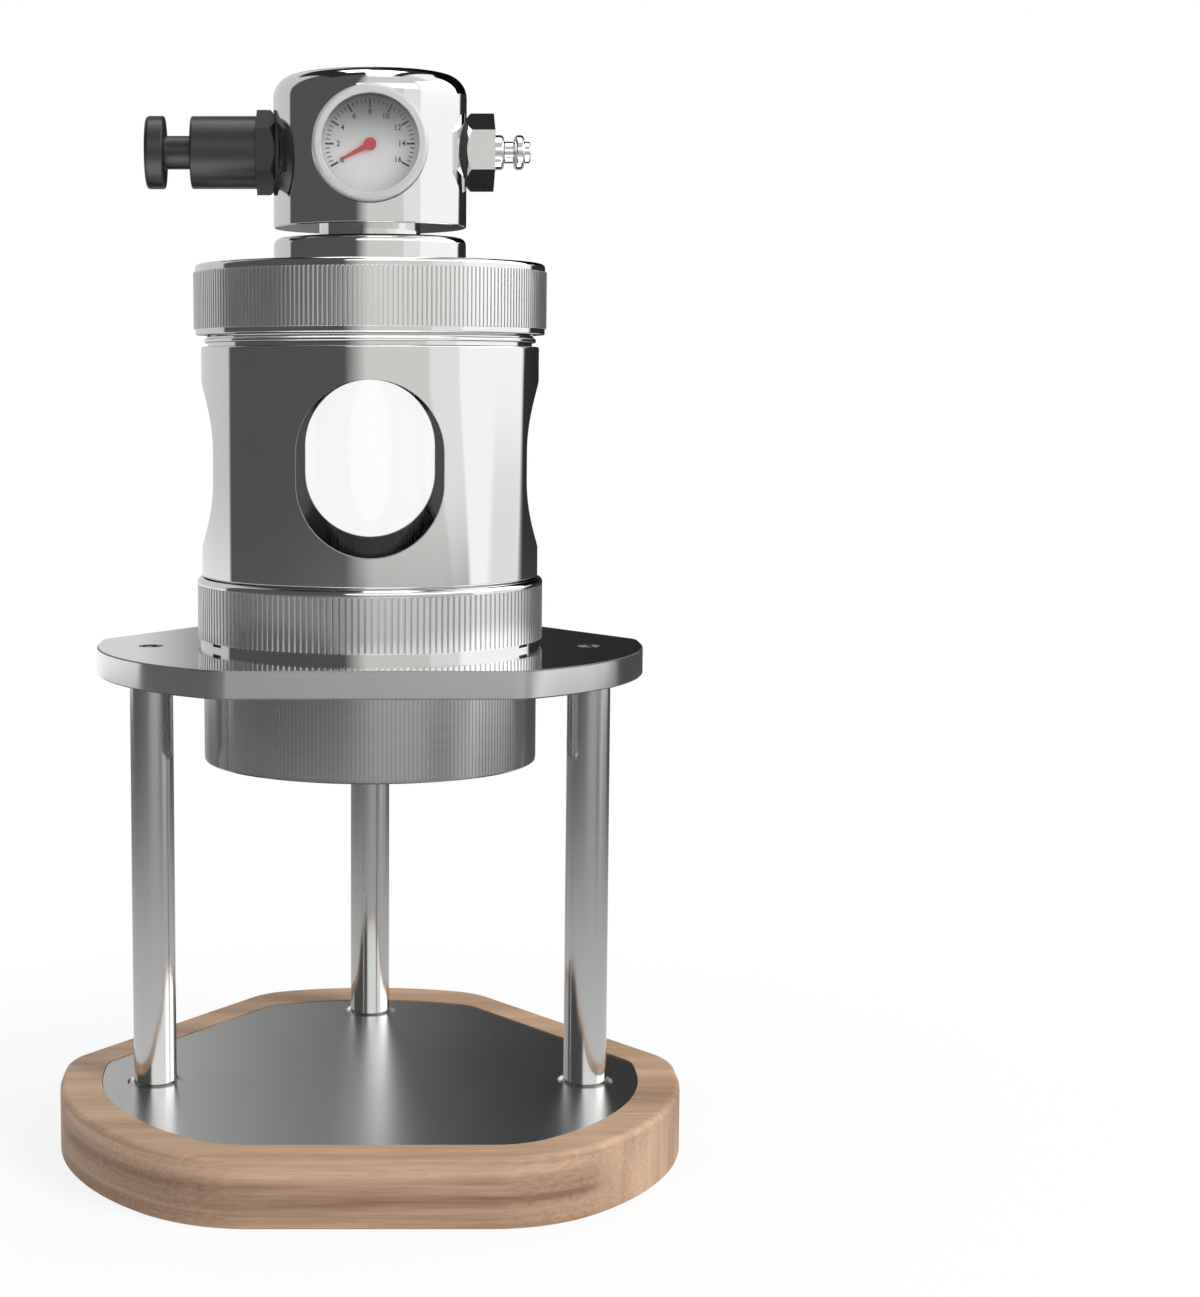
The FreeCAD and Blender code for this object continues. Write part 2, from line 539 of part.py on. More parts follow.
# ---- brewing group --------------------------------------------------------------------------------------
def group_ring():
    """Lower knurled ring, its floor and the neck that takes the portafilter."""
    screen_bore = SCREEN_RADIUS + SEAL_GAP
    band_top = Z_TOP_PLATE_TOP + RING_BAND_HEIGHT
    profile = [
        (Z_TOP_PLATE_TOP, NECK_RADIUS),
        (Z_TOP_PLATE_TOP, RING_BAND_RADIUS),
        (band_top, RING_BAND_RADIUS),
        (band_top, RING_RADIUS),
        (Z_RING_TOP - RING_TOP_CHAMFER, RING_RADIUS),
        (Z_RING_TOP, RING_RADIUS - RING_TOP_CHAMFER),
        (Z_RING_TOP, RING_SOCKET_RADIUS),
        (Z_GROUP_FLOOR, RING_SOCKET_RADIUS),
        (Z_GROUP_FLOOR, GROUP_PORT_RADIUS),
        (Z_SCREEN_SEAT, GROUP_PORT_RADIUS),
        (Z_SCREEN_SEAT, screen_bore),
        (Z_GASKET_BACK, screen_bore),
        (Z_GASKET_BACK, NECK_BORE_RADIUS),
        (Z_NECK_END, NECK_BORE_RADIUS),
        (Z_NECK_END, NECK_RADIUS),
    ]
    return turned(profile, Z_AXIS)


def group_gasket():
    """Flat rubber ring that the basket's flange is pressed against."""
    return ring(NECK_BORE_RADIUS - SEAL_GAP, BASKET_RADIUS, Z_GASKET_FACE, Z_GASKET_BACK)


def shower_screen():
    """Perforated dish that spreads the water over the coffee."""
    low = Z_SCREEN_SEAT - SCREEN_RIM
    floor = low + SCREEN_THICKNESS
    inner = SCREEN_RADIUS - SCREEN_THICKNESS
    profile = [
        (low, 0.0),
        (low, SCREEN_RADIUS),
        (Z_SCREEN_SEAT, SCREEN_RADIUS),
        (Z_SCREEN_SEAT, inner),
        (floor, inner),
        (floor, 0.0),
    ]
    dish = turned(profile, Z_AXIS)
    return dish.cut(hole_pattern(SCREEN_HOLE_DIAMETER, SCREEN_HOLE_PITCH, low - 1, floor + 1))


def filter_basket():
    """Perforated coffee basket with its flange."""
    floor = Z_BASKET_BOTTOM + BASKET_WALL
    profile = [
        (Z_BASKET_BOTTOM, 0.0),
        (Z_BASKET_BOTTOM, BASKET_RADIUS),
        (Z_FLANGE_SEAT, BASKET_RADIUS),
        (Z_FLANGE_SEAT, CUP_UPSTAND_RADIUS),
        (Z_GASKET_FACE, CUP_UPSTAND_RADIUS),
        (Z_GASKET_FACE, BASKET_BORE_RADIUS),
        (floor, BASKET_BORE_RADIUS),
        (floor, 0.0),
    ]
    drills = hole_pattern(BASKET_HOLE_DIAMETER, BASKET_HOLE_PITCH, Z_BASKET_BOTTOM - 1, floor + 1)
    return turned(profile, Z_AXIS).cut(drills)


def portafilter_cup():
    """Cup that screws on to the neck and carries the basket on an inner wall."""
    groove_floor = Z_NECK_END - RUNNING_GAP
    profile = [
        (Z_CUP_BOTTOM, OUTLET_RADIUS),
        (Z_CUP_BOTTOM, CUP_RADIUS - CUP_BOTTOM_CHAMFER),
        (Z_CUP_BOTTOM + CUP_BOTTOM_CHAMFER, CUP_RADIUS),
        (Z_CUP_TOP, CUP_RADIUS),
        (Z_CUP_TOP, CUP_THREAD_RADIUS),
        (groove_floor, CUP_THREAD_RADIUS),
        (groove_floor, CUP_UPSTAND_RADIUS),
        (Z_FLANGE_SEAT, CUP_UPSTAND_RADIUS),
        (Z_FLANGE_SEAT, CUP_CAVITY_RADIUS),
        (Z_CUP_FLOOR, CUP_CAVITY_RADIUS),
        (Z_CUP_FLOOR - CUP_FUNNEL_DEPTH, OUTLET_RADIUS),
    ]
    return turned(profile, Z_AXIS)


# ---- water chamber -----------------------------------------------------------------------------------------
def lower_glass_seal():
    return ring(GLASS_RADIUS, GLASS_RADIUS - GLASS_WALL, Z_GROUP_FLOOR, Z_GLASS_BOTTOM)


def glass_liner():
    return ring(GLASS_RADIUS, GLASS_RADIUS - GLASS_WALL, Z_GLASS_BOTTOM, Z_GLASS_TOP)


def upper_glass_seal():
    return ring(GLASS_RADIUS, GLASS_RADIUS - GLASS_WALL, Z_GLASS_TOP, Z_LID_BOTTOM)


def window_cutter():
    """Bar with round ends that cuts a window through front and back."""
    half = WINDOW_WIDTH / 2
    keel_height = Z_SHOULDER + WINDOW_SILL
    crown_height = Z_BODY_EDGE - WINDOW_HEADER
    middle = (keel_height + crown_height) / 2
    low = middle - WINDOW_SIDE / 2
    high = middle + WINDOW_SIDE / 2
    reach = 2 * BODY_RADIUS
    left_low = V(-half, -reach, low)
    left_high = V(-half, -reach, high)
    right_low = V(half, -reach, low)
    right_high = V(half, -reach, high)
    crown = V(0, -reach, crown_height)
    keel = V(0, -reach, keel_height)
    edges = [
        Part.LineSegment(left_low, left_high).toShape(),
        Part.Arc(left_high, crown, right_high).toShape(),
        Part.LineSegment(right_high, right_low).toShape(),
        Part.Arc(right_low, keel, left_low).toShape(),
    ]
    return Part.Face(Part.Wire(edges)).extrude(V(0, 2 * reach, 0))


def chamber_body():
    """Steel sleeve round the glass, with four tall windows."""
    edge = BODY_EDGE_CHAMFER
    profile = [
        (Z_GROUP_FLOOR, BODY_BORE_RADIUS),
        (Z_GROUP_FLOOR, SPIGOT_RADIUS),
        (Z_SHOULDER, SPIGOT_RADIUS),
        (Z_SHOULDER, BODY_RADIUS - edge),
        (Z_SHOULDER + edge, BODY_RADIUS),
        (Z_BODY_EDGE - edge, BODY_RADIUS),
        (Z_BODY_EDGE, BODY_RADIUS - edge),
        (Z_BODY_EDGE, GROOVE_RADIUS),
        (Z_BEAD, GROOVE_RADIUS),
        (Z_BEAD, BEAD_RADIUS),
        (Z_THREAD_START, BEAD_RADIUS),
        (Z_THREAD_START, UPPER_THREAD_RADIUS),
        (Z_THREAD_END, UPPER_THREAD_RADIUS),
        (Z_THREAD_END, BODY_BORE_RADIUS),
    ]
    solid = turned(profile, Z_AXIS)
    for angle in WINDOW_PAIR_ANGLES:
        cutter = window_cutter()
        cutter.rotate(ORIGIN, Z_AXIS, angle)
        solid = solid.cut(cutter)
    return solid


def cap_nut():
    """Knurled cap that screws down over the body and holds the lid."""
    chamfer = CAP_TOP_CHAMFER
    profile = [
        (Z_CAP_BOTTOM, CAP_THREAD_RADIUS),
        (Z_CAP_BOTTOM, CAP_RADIUS),
        (Z_CAP_TOP - chamfer, CAP_RADIUS),
        (Z_CAP_TOP, CAP_RADIUS - chamfer),
        (Z_CAP_TOP, CAP_BORE_RADIUS),
        (Z_CAP_INNER, CAP_BORE_RADIUS),
        (Z_CAP_INNER, CAP_THREAD_RADIUS),
    ]
    return turned(profile, Z_AXIS)


# ---- lid, neck and head ----------------------------------------------------------------------------------------
def chamber_lid():
    """Flanged lid under the cap; its boss comes up through the cap."""
    socket = NECK_SPIGOT_RADIUS + SCREW_FIT
    socket_floor = Z_COLLAR_BOTTOM - NECK_SPIGOT_LENGTH
    profile = [
        (Z_LID_BOTTOM, AIR_WAY_RADIUS),
        (Z_LID_BOTTOM, LID_RADIUS),
        (Z_LID_TOP, LID_RADIUS),
        (Z_LID_TOP, BOSS_RADIUS),
        (Z_COLLAR_BOTTOM, BOSS_RADIUS),
        (Z_COLLAR_BOTTOM, socket),
        (socket_floor, socket),
        (socket_floor, AIR_WAY_RADIUS),
    ]
    return turned(profile, Z_AXIS)


def lid_collar():
    """Round collar on the boss, above the cap."""
    bore = NECK_TUBE_RADIUS + SCREW_FIT
    solid = ring(COLLAR_RADIUS, bore, Z_COLLAR_BOTTOM, Z_COLLAR_TOP)
    rim = circle_edges(solid, COLLAR_RADIUS, Z_COLLAR_TOP, Z_AXIS)
    return solid.makeFillet(COLLAR_FILLET, rim)


def neck_tube():
    """Hollow neck with a spigot into the lid and one into the head."""
    profile = [
        (Z_COLLAR_BOTTOM - NECK_SPIGOT_LENGTH, AIR_WAY_RADIUS),
        (Z_COLLAR_BOTTOM - NECK_SPIGOT_LENGTH, NECK_SPIGOT_RADIUS),
        (Z_COLLAR_BOTTOM, NECK_SPIGOT_RADIUS),
        (Z_COLLAR_BOTTOM, NECK_TUBE_RADIUS),
        (Z_HEAD_BOTTOM, NECK_TUBE_RADIUS),
        (Z_HEAD_BOTTOM, NECK_SPIGOT_RADIUS),
        (Z_HEAD_BOTTOM + NECK_SPIGOT_LENGTH, NECK_SPIGOT_RADIUS),
        (Z_HEAD_BOTTOM + NECK_SPIGOT_LENGTH, AIR_WAY_RADIUS),
    ]
    return turned(profile, Z_AXIS)


def head_body():
    """Round manifold: neck below, gauge in front, valve left, air inlet right."""
    solid = upright(HEAD_RADIUS, Z_HEAD_BOTTOM, Z_HEAD_TOP)
    top = circle_edges(solid, HEAD_RADIUS, Z_HEAD_TOP, Z_AXIS)
    solid = solid.makeFillet(HEAD_TOP_FILLET, top)
    bottom = circle_edges(solid, HEAD_RADIUS, Z_HEAD_BOTTOM, Z_AXIS)
    solid = solid.makeChamfer(HEAD_BOTTOM_CHAMFER, bottom)
    socket = NECK_SPIGOT_RADIUS + SCREW_FIT
    solid = solid.cut(upright(socket, 0, Z_HEAD_BOTTOM + NECK_SPIGOT_LENGTH))
    solid = solid.cut(upright(AIR_WAY_RADIUS, 0, Z_PORT))
    bore = PORT_THREAD_RADIUS + SCREW_FIT
    seats = ((-1, RELIEF_WASHER_RADIUS), (1, INLET_WASHER_RADIUS))
    for side, washer in seats:
        out = X_AXIS * side
        seat = V(side * SPOT_FACE_X, 0, Z_PORT)
        spot = Part.makeCylinder(washer + SEAL_GAP, HEAD_RADIUS, seat, out)
        start = seat - out * (PORT_SPIGOT_LENGTH + PORT_END_ROOM)
        port = Part.makeCylinder(bore, HEAD_RADIUS, start, out)
        way = Part.makeCylinder(AIR_WAY_RADIUS, SPOT_FACE_X, V(0, 0, Z_PORT), out)
        solid = solid.cut(spot).cut(port).cut(way)
    pocket_radius = BEZEL_RADIUS + SEAL_GAP
    seat = V(0, GAUGE_SEAT_Y, Z_PORT)
    pocket = Part.makeCylinder(pocket_radius, HEAD_RADIUS, seat, Y_AXIS * -1)
    stem = Part.makeCylinder(GAUGE_STEM_RADIUS + SCREW_FIT, GAUGE_STEM_LENGTH, seat, Y_AXIS)
    return solid.cut(pocket).cut(stem)


# ---- pressure gauge -----------------------------------------------------------------------------------------------
Y_CASE_FRONT = GAUGE_SEAT_Y - GAUGE_CASE_DEPTH
Y_DIAL_FACE = Y_CASE_FRONT + DIAL_DEPTH
Y_DIAL_BACK = Y_DIAL_FACE + DIAL_THICKNESS


def gauge_case():
    """Cup of the gauge with a step for the dial and a stem for the air."""
    step = DIAL_RADIUS - DIAL_STEP
    profile = [
        (GAUGE_SEAT_Y + GAUGE_STEM_LENGTH, 0.0),
        (GAUGE_SEAT_Y + GAUGE_STEM_LENGTH, GAUGE_STEM_RADIUS),
        (GAUGE_SEAT_Y, GAUGE_STEM_RADIUS),
        (GAUGE_SEAT_Y, GAUGE_CASE_RADIUS),
        (Y_CASE_FRONT, GAUGE_CASE_RADIUS),
        (Y_CASE_FRONT, DIAL_RADIUS + SCREW_FIT),
        (Y_DIAL_BACK, DIAL_RADIUS + SCREW_FIT),
        (Y_DIAL_BACK, step),
        (GAUGE_SEAT_Y - GAUGE_CASE_WALL, step),
        (GAUGE_SEAT_Y - GAUGE_CASE_WALL, 0.0),
    ]
    return at_port(turned(profile, Y_AXIS))


def gauge_dial():
    hole = NEEDLE_SPINDLE_RADIUS + SCREW_FIT
    profile = [
        (Y_DIAL_BACK, hole),
        (Y_DIAL_BACK, DIAL_RADIUS),
        (Y_DIAL_FACE, DIAL_RADIUS),
        (Y_DIAL_FACE, hole),
    ]
    return at_port(turned(profile, Y_AXIS))


def gauge_needle():
    """Pointer with its hub and the spindle behind the dial."""
    back = Y_DIAL_FACE - NEEDLE_LIFT
    front = back - NEEDLE_THICKNESS
    half = NEEDLE_WIDTH / 2
    tip = NEEDLE_TIP_WIDTH / 2
    corners = [
        V(-NEEDLE_TAIL, back, -half),
        V(NEEDLE_LENGTH, back, -tip),
        V(NEEDLE_LENGTH, back, tip),
        V(-NEEDLE_TAIL, back, half),
    ]
    blade = Part.Face(Part.makePolygon(corners + [corners[0]])).extrude(V(0, front - back, 0))
    spindle_end = GAUGE_SEAT_Y - GAUGE_CASE_WALL - RUNNING_GAP
    profile = [
        (spindle_end, 0.0),
        (spindle_end, NEEDLE_SPINDLE_RADIUS),
        (back, NEEDLE_SPINDLE_RADIUS),
        (back, NEEDLE_HUB_RADIUS),
        (front - NEEDLE_THICKNESS, NEEDLE_HUB_RADIUS),
        (front - NEEDLE_THICKNESS, 0.0),
    ]
    needle = blade.fuse(turned(profile, Y_AXIS)).removeSplitter()
    needle.rotate(ORIGIN, Y_AXIS, -NEEDLE_REST_ANGLE)
    return at_port(needle)


def gauge_lens():
    place = V(0, Y_CASE_FRONT, Z_PORT)
    return Part.makeCylinder(LENS_RADIUS, LENS_THICKNESS, place, Y_AXIS * -1)


def gauge_bezel():
    """Front ring that holds the lens, bevelled inside and out."""
    front = Y_CASE_FRONT - BEZEL_DEPTH
    lens_front = Y_CASE_FRONT - LENS_THICKNESS
    profile = [
        (Y_CASE_FRONT, LENS_RADIUS + SCREW_FIT),
        (Y_CASE_FRONT, BEZEL_RADIUS),
        (front + BEZEL_BEVEL, BEZEL_RADIUS),
        (front, BEZEL_RADIUS - BEZEL_BEVEL),
        (front, BEZEL_OPENING_RADIUS + BEZEL_BEVEL),
        (lens_front, BEZEL_OPENING_RADIUS),
        (lens_front, LENS_RADIUS + SCREW_FIT),
    ]
    return at_port(turned(profile, Y_AXIS))


# ---- relief valve ----------------------------------------------------------------------------------------------------
X_RELIEF_HEX_IN = -SPOT_FACE_X - RELIEF_WASHER_THICKNESS
X_RELIEF_HEX_OUT = X_RELIEF_HEX_IN - RELIEF_HEX_LENGTH
X_BARREL_END = X_RELIEF_HEX_OUT - RELIEF_BARREL_LENGTH
X_PISTON_SEAT = X_RELIEF_HEX_OUT - RELIEF_THREAD_LENGTH
X_PISTON_BACK = X_PISTON_SEAT - RELIEF_PISTON_THICKNESS
X_GUIDE_INNER = X_BARREL_END + RELIEF_GUIDE_LENGTH
X_KNOB_INNER = X_BARREL_END - RELIEF_STEM_EXPOSED
X_KNOB_OUTER = X_KNOB_INNER - RELIEF_KNOB_LENGTH


def chamfered_hex(across_flats, low, high, chamfer_low, chamfer_high):
    """Hexagon bar along X with its corners turned off at chosen ends."""
    corner = across_flats / math.sqrt(3.0)
    inner = across_flats / 2
    low_run = (corner - inner) * chamfer_low
    high_run = (corner - inner) * chamfer_high
    profile = [
        (low, 0.0),
        (low, corner - low_run),
        (low + low_run * HEX_CHAMFER, corner),
        (high - high_run * HEX_CHAMFER, corner),
        (high, corner - high_run),
        (high, 0.0),
    ]
    bar = hex_prism(across_flats, low, high, X_AXIS, ORIGIN)
    return bar.common(turned(profile, X_AXIS))


def relief_valve_washer():
    profile = [
        (X_RELIEF_HEX_IN, PORT_THREAD_RADIUS + SCREW_FIT),
        (X_RELIEF_HEX_IN, RELIEF_WASHER_RADIUS),
        (-SPOT_FACE_X, RELIEF_WASHER_RADIUS),
        (-SPOT_FACE_X, PORT_THREAD_RADIUS + SCREW_FIT),
    ]
    return at_port(turned(profile, X_AXIS))


def relief_valve_base():
    """Hexagon with a spigot into the head and a boss that is the valve seat."""
    bar = chamfered_hex(RELIEF_HEX, X_RELIEF_HEX_OUT, X_RELIEF_HEX_IN, 0, 1)
    spigot_end = PORT_SPIGOT_LENGTH - SPOT_FACE_X
    spigot = turned([
        (X_RELIEF_HEX_IN, 0.0),
        (X_RELIEF_HEX_IN, PORT_THREAD_RADIUS),
        (spigot_end, PORT_THREAD_RADIUS),
        (spigot_end, 0.0),
    ], X_AXIS)
    boss = turned([
        (X_PISTON_SEAT, 0.0),
        (X_PISTON_SEAT, RELIEF_THREAD_RADIUS),
        (X_RELIEF_HEX_OUT, RELIEF_THREAD_RADIUS),
        (X_RELIEF_HEX_OUT, 0.0),
    ], X_AXIS)
    drill = Part.makeCylinder(RELIEF_SEAT_RADIUS, 3 * HEAD_RADIUS, V(-3 * HEAD_RADIUS, 0, 0), X_AXIS)
    return at_port(bar.fuse(spigot).fuse(boss).removeSplitter().cut(drill))


def relief_valve_barrel():
    """Barrel that screws on to the base, with a guide for the knob's stem."""
    thread = RELIEF_THREAD_RADIUS + SCREW_FIT
    guide = RELIEF_STEM_RADIUS + RUNNING_GAP
    chamfer = RELIEF_BARREL_CHAMFER
    profile = [
        (X_RELIEF_HEX_OUT, thread),
        (X_RELIEF_HEX_OUT, RELIEF_BARREL_RADIUS),
        (X_BARREL_END + chamfer, RELIEF_BARREL_RADIUS),
        (X_BARREL_END, RELIEF_BARREL_RADIUS - chamfer),
        (X_BARREL_END, guide),
        (X_GUIDE_INNER, guide),
        (X_GUIDE_INNER, SPRING_SPACE_RADIUS),
        (X_PISTON_SEAT, SPRING_SPACE_RADIUS),
        (X_PISTON_SEAT, thread),
    ]
    return at_port(turned(profile, X_AXIS))


def relief_valve_knob():
    """Pull knob, stem, rod and piston in one turned piece."""
    dome = X_KNOB_OUTER + RELIEF_KNOB_DOME
    profile = [
        (X_KNOB_OUTER, 0.0),
        (X_KNOB_OUTER, RELIEF_KNOB_RADIUS - 2 * RELIEF_KNOB_DOME),
        (dome, RELIEF_KNOB_RADIUS),
        (X_KNOB_INNER, RELIEF_KNOB_RADIUS),
        (X_KNOB_INNER, RELIEF_STEM_RADIUS),
        (X_GUIDE_INNER, RELIEF_STEM_RADIUS),
        (X_GUIDE_INNER, RELIEF_ROD_RADIUS),
        (X_PISTON_BACK, RELIEF_ROD_RADIUS),
        (X_PISTON_BACK, RELIEF_PISTON_RADIUS),
        (X_PISTON_SEAT, RELIEF_PISTON_RADIUS),
        (X_PISTON_SEAT, 0.0),
    ]
    return at_port(turned(profile, X_AXIS))


def relief_valve_spring():
    spring = coil(RELIEF_SPRING_RADIUS, RELIEF_SPRING_WIRE, RELIEF_SPRING_TURNS, X_GUIDE_INNER, X_PISTON_BACK)
    return at_port(spring)


# ---- air inlet -----------------------------------------------------------------------------------------------------------
X_INLET_HEX_IN = SPOT_FACE_X + INLET_WASHER_THICKNESS
X_INLET_HEX_OUT = X_INLET_HEX_IN + INLET_HEX_LENGTH
X_PLUG_SPIGOT_END = X_INLET_HEX_OUT - PLUG_SPIGOT_LENGTH
X_POPPET_SEAT = X_PLUG_SPIGOT_END
X_POPPET_BACK = X_POPPET_SEAT - POPPET_LENGTH
X_POPPET_LIP = X_POPPET_SEAT - POPPET_CHAMBER_LENGTH


def inlet_washer():
    profile = [
        (SPOT_FACE_X, PORT_THREAD_RADIUS + SCREW_FIT),
        (SPOT_FACE_X, INLET_WASHER_RADIUS),
        (X_INLET_HEX_IN, INLET_WASHER_RADIUS),
        (X_INLET_HEX_IN, PORT_THREAD_RADIUS + SCREW_FIT),
    ]
    return at_port(turned(profile, X_AXIS))


def inlet_adapter():
    """Hexagon adapter between the head and the plug; it houses the check valve."""
    bar = chamfered_hex(INLET_HEX, X_INLET_HEX_IN, X_INLET_HEX_OUT, 1, 0)
    spigot_end = SPOT_FACE_X - PORT_SPIGOT_LENGTH
    spigot = turned([
        (spigot_end, 0.0),
        (spigot_end, PORT_THREAD_RADIUS),
        (X_INLET_HEX_IN, PORT_THREAD_RADIUS),
        (X_INLET_HEX_IN, 0.0),
    ], X_AXIS)
    bores = turned([
        (0.0, 0.0),
        (0.0, POPPET_LIP_RADIUS),
        (X_POPPET_LIP, POPPET_LIP_RADIUS),
        (X_POPPET_LIP, POPPET_CHAMBER_RADIUS),
        (X_PLUG_SPIGOT_END, POPPET_CHAMBER_RADIUS),
        (X_PLUG_SPIGOT_END, PLUG_SPIGOT_RADIUS + SCREW_FIT),
        (X_INLET_HEX_OUT + 1, PLUG_SPIGOT_RADIUS + SCREW_FIT),
        (X_INLET_HEX_OUT + 1, 0.0),
    ], X_AXIS)
    return at_port(bar.fuse(spigot).removeSplitter().cut(bores))


def inlet_plug():
    """Quick-connect plug: two rings with a groove between, and a nose."""
    chamfer = PLUG_RING_CHAMFER
    ring_one = X_INLET_HEX_OUT + PLUG_RING_LENGTH
    ring_two = ring_one + PLUG_GROOVE_LENGTH
    ring_end = ring_two + PLUG_RING_LENGTH
    nose_end = ring_end + PLUG_NOSE_LENGTH
    profile = [
        (X_PLUG_SPIGOT_END, PLUG_BORE_RADIUS),
        (X_PLUG_SPIGOT_END, PLUG_SPIGOT_RADIUS),
        (X_INLET_HEX_OUT, PLUG_SPIGOT_RADIUS),
        (X_INLET_HEX_OUT, PLUG_RING_RADIUS),
        (ring_one - chamfer, PLUG_RING_RADIUS),
        (ring_one, PLUG_RING_RADIUS - chamfer),
        (ring_one, PLUG_GROOVE_RADIUS),
        (ring_two, PLUG_GROOVE_RADIUS),
        (ring_two, PLUG_RING_RADIUS - chamfer),
        (ring_two + chamfer, PLUG_RING_RADIUS),
        (ring_end - chamfer, PLUG_RING_RADIUS),
        (ring_end, PLUG_RING_RADIUS - chamfer),
        (ring_end, PLUG_NOSE_RADIUS),
        (nose_end - PLUG_NOSE_CHAMFER, PLUG_NOSE_RADIUS),
        (nose_end, PLUG_NOSE_RADIUS - PLUG_NOSE_CHAMFER),
        (nose_end, PLUG_BORE_RADIUS),
    ]
    return at_port(turned(profile, X_AXIS))


def check_valve_poppet():
    """Small piston that closes the plug's bore from inside."""
    rod_end = X_POPPET_BACK - POPPET_ROD_LENGTH
    profile = [
        (rod_end, 0.0),
        (rod_end, POPPET_ROD_RADIUS),
        (X_POPPET_BACK, POPPET_ROD_RADIUS),
        (X_POPPET_BACK, POPPET_RADIUS),
        (X_POPPET_SEAT - POPPET_CONE, POPPET_RADIUS),
        (X_POPPET_SEAT, POPPET_RADIUS - POPPET_CONE),
        (X_POPPET_SEAT, 0.0),
    ]
    return at_port(turned(profile, X_AXIS))


def check_valve_spring():
    spring = coil(CHECK_SPRING_RADIUS, CHECK_SPRING_WIRE, CHECK_SPRING_TURNS, X_POPPET_LIP, X_POPPET_BACK)
    return at_port(spring)


# ---- writing the parts ---------------------------------------------------------------------------------------------------
PARTS = {
    "wood_base": wood_base,
    "base_plate": base_plate,
    "leg_top_screws": leg_top_screws,
    "leg_bottom_screws": leg_bottom_screws,
    "top_plate": top_plate,
    "group_ring": group_ring,
    "group_gasket": group_gasket,
    "shower_screen": shower_screen,
    "filter_basket": filter_basket,
    "portafilter_cup": portafilter_cup,
    "lower_glass_seal": lower_glass_seal,
    "glass_liner": glass_liner,
    "upper_glass_seal": upper_glass_seal,
    "chamber_body": chamber_body,
    "cap_nut": cap_nut,
    "chamber_lid": chamber_lid,
    "lid_collar": lid_collar,
    "neck_tube": neck_tube,
    "head_body": head_body,
    "gauge_case": gauge_case,
    "gauge_dial": gauge_dial,
    "gauge_needle": gauge_needle,
    "gauge_lens": gauge_lens,
    "gauge_bezel": gauge_bezel,
    "relief_valve_washer": relief_valve_washer,
    "relief_valve_base": relief_valve_base,
    "relief_valve_barrel": relief_valve_barrel,
    "relief_valve_knob": relief_valve_knob,
    "relief_valve_spring": relief_valve_spring,
    "inlet_washer": inlet_washer,
    "inlet_adapter": inlet_adapter,
    "inlet_plug": inlet_plug,
    "check_valve_poppet": check_valve_poppet,
    "check_valve_spring": check_valve_spring,
}

os.makedirs("parts", exist_ok=True)
for name, build in PARTS.items():
    build().exportStep("parts/" + name + ".step")
for name, place in zip(("left_leg", "right_leg", "back_leg"), LEG_PLACES):
    leg(*place).exportStep("parts/" + name + ".step")
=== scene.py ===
"""Finished pieces, finishes and studio for a hand espresso maker.

Laid out as an add-on and run as a script. Lengths are in millimetres in the
names and functions, and in metres once they reach Blender. +Z is up, the gauge
faces -Y, and the air plug points to +X.
"""

import json
import math

import bmesh
import bpy
from mathutils import Matrix, Vector

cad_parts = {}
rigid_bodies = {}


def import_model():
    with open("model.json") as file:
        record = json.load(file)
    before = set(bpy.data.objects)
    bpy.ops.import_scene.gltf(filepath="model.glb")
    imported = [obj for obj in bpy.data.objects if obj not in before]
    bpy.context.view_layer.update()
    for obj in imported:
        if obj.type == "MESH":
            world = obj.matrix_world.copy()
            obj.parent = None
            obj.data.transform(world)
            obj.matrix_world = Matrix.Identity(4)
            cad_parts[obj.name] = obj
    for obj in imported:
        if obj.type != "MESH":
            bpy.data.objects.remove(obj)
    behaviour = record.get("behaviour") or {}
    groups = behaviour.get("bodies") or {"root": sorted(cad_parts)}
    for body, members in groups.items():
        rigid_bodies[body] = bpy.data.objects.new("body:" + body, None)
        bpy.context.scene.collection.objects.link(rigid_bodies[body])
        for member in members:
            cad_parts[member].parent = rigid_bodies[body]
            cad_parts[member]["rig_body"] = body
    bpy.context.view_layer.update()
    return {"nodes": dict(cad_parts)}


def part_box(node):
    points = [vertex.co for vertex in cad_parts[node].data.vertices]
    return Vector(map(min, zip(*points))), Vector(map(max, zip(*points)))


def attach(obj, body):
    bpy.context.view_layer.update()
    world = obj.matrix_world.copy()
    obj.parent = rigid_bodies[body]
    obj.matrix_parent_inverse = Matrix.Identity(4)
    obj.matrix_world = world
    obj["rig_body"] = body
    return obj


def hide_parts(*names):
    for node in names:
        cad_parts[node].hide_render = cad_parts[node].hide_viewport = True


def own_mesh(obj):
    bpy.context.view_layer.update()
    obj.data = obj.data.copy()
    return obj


bl_info = {
    "name": "Hand espresso maker",
    "version": (1, 0, 0),
    "blender": (4, 5, 0),
    "location": "3D View > Sidebar > Espresso",
    "description": "Finished pieces and materials for a hand espresso maker",
    "category": "Object",
}

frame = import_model()
NODES = frame["nodes"]
BODY_OF = {node: NODES[node]["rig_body"] for node in NODES}

MM = 0.001
TURN = 2 * math.pi
ROUND_STEPS = 512        # facets round a mirror-polished piece
SMALL_STEPS = 192        # facets round a small piece
ARC_STEPS = 8            # facets in a rounded corner
WINDOW_STEPS = 96        # facets round a window
TANGENT_BAND = 0.02      # flat strip that keeps a corner's shading off the next face
COIL_STEPS, WIRE_SIDES = 24, 10   # facets along and round a spring's wire
SHARP_ANGLE = math.radians(32)
MERGE, SLIVER = 0.002, 0.001      # vertices closer than the one join, edges under the other go


# ---- sizes read from the frame ----------------------------------------------
def span(node):
    """Lowest and highest corner of a CAD node, in millimetres."""
    low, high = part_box(node)
    return low / MM, high / MM


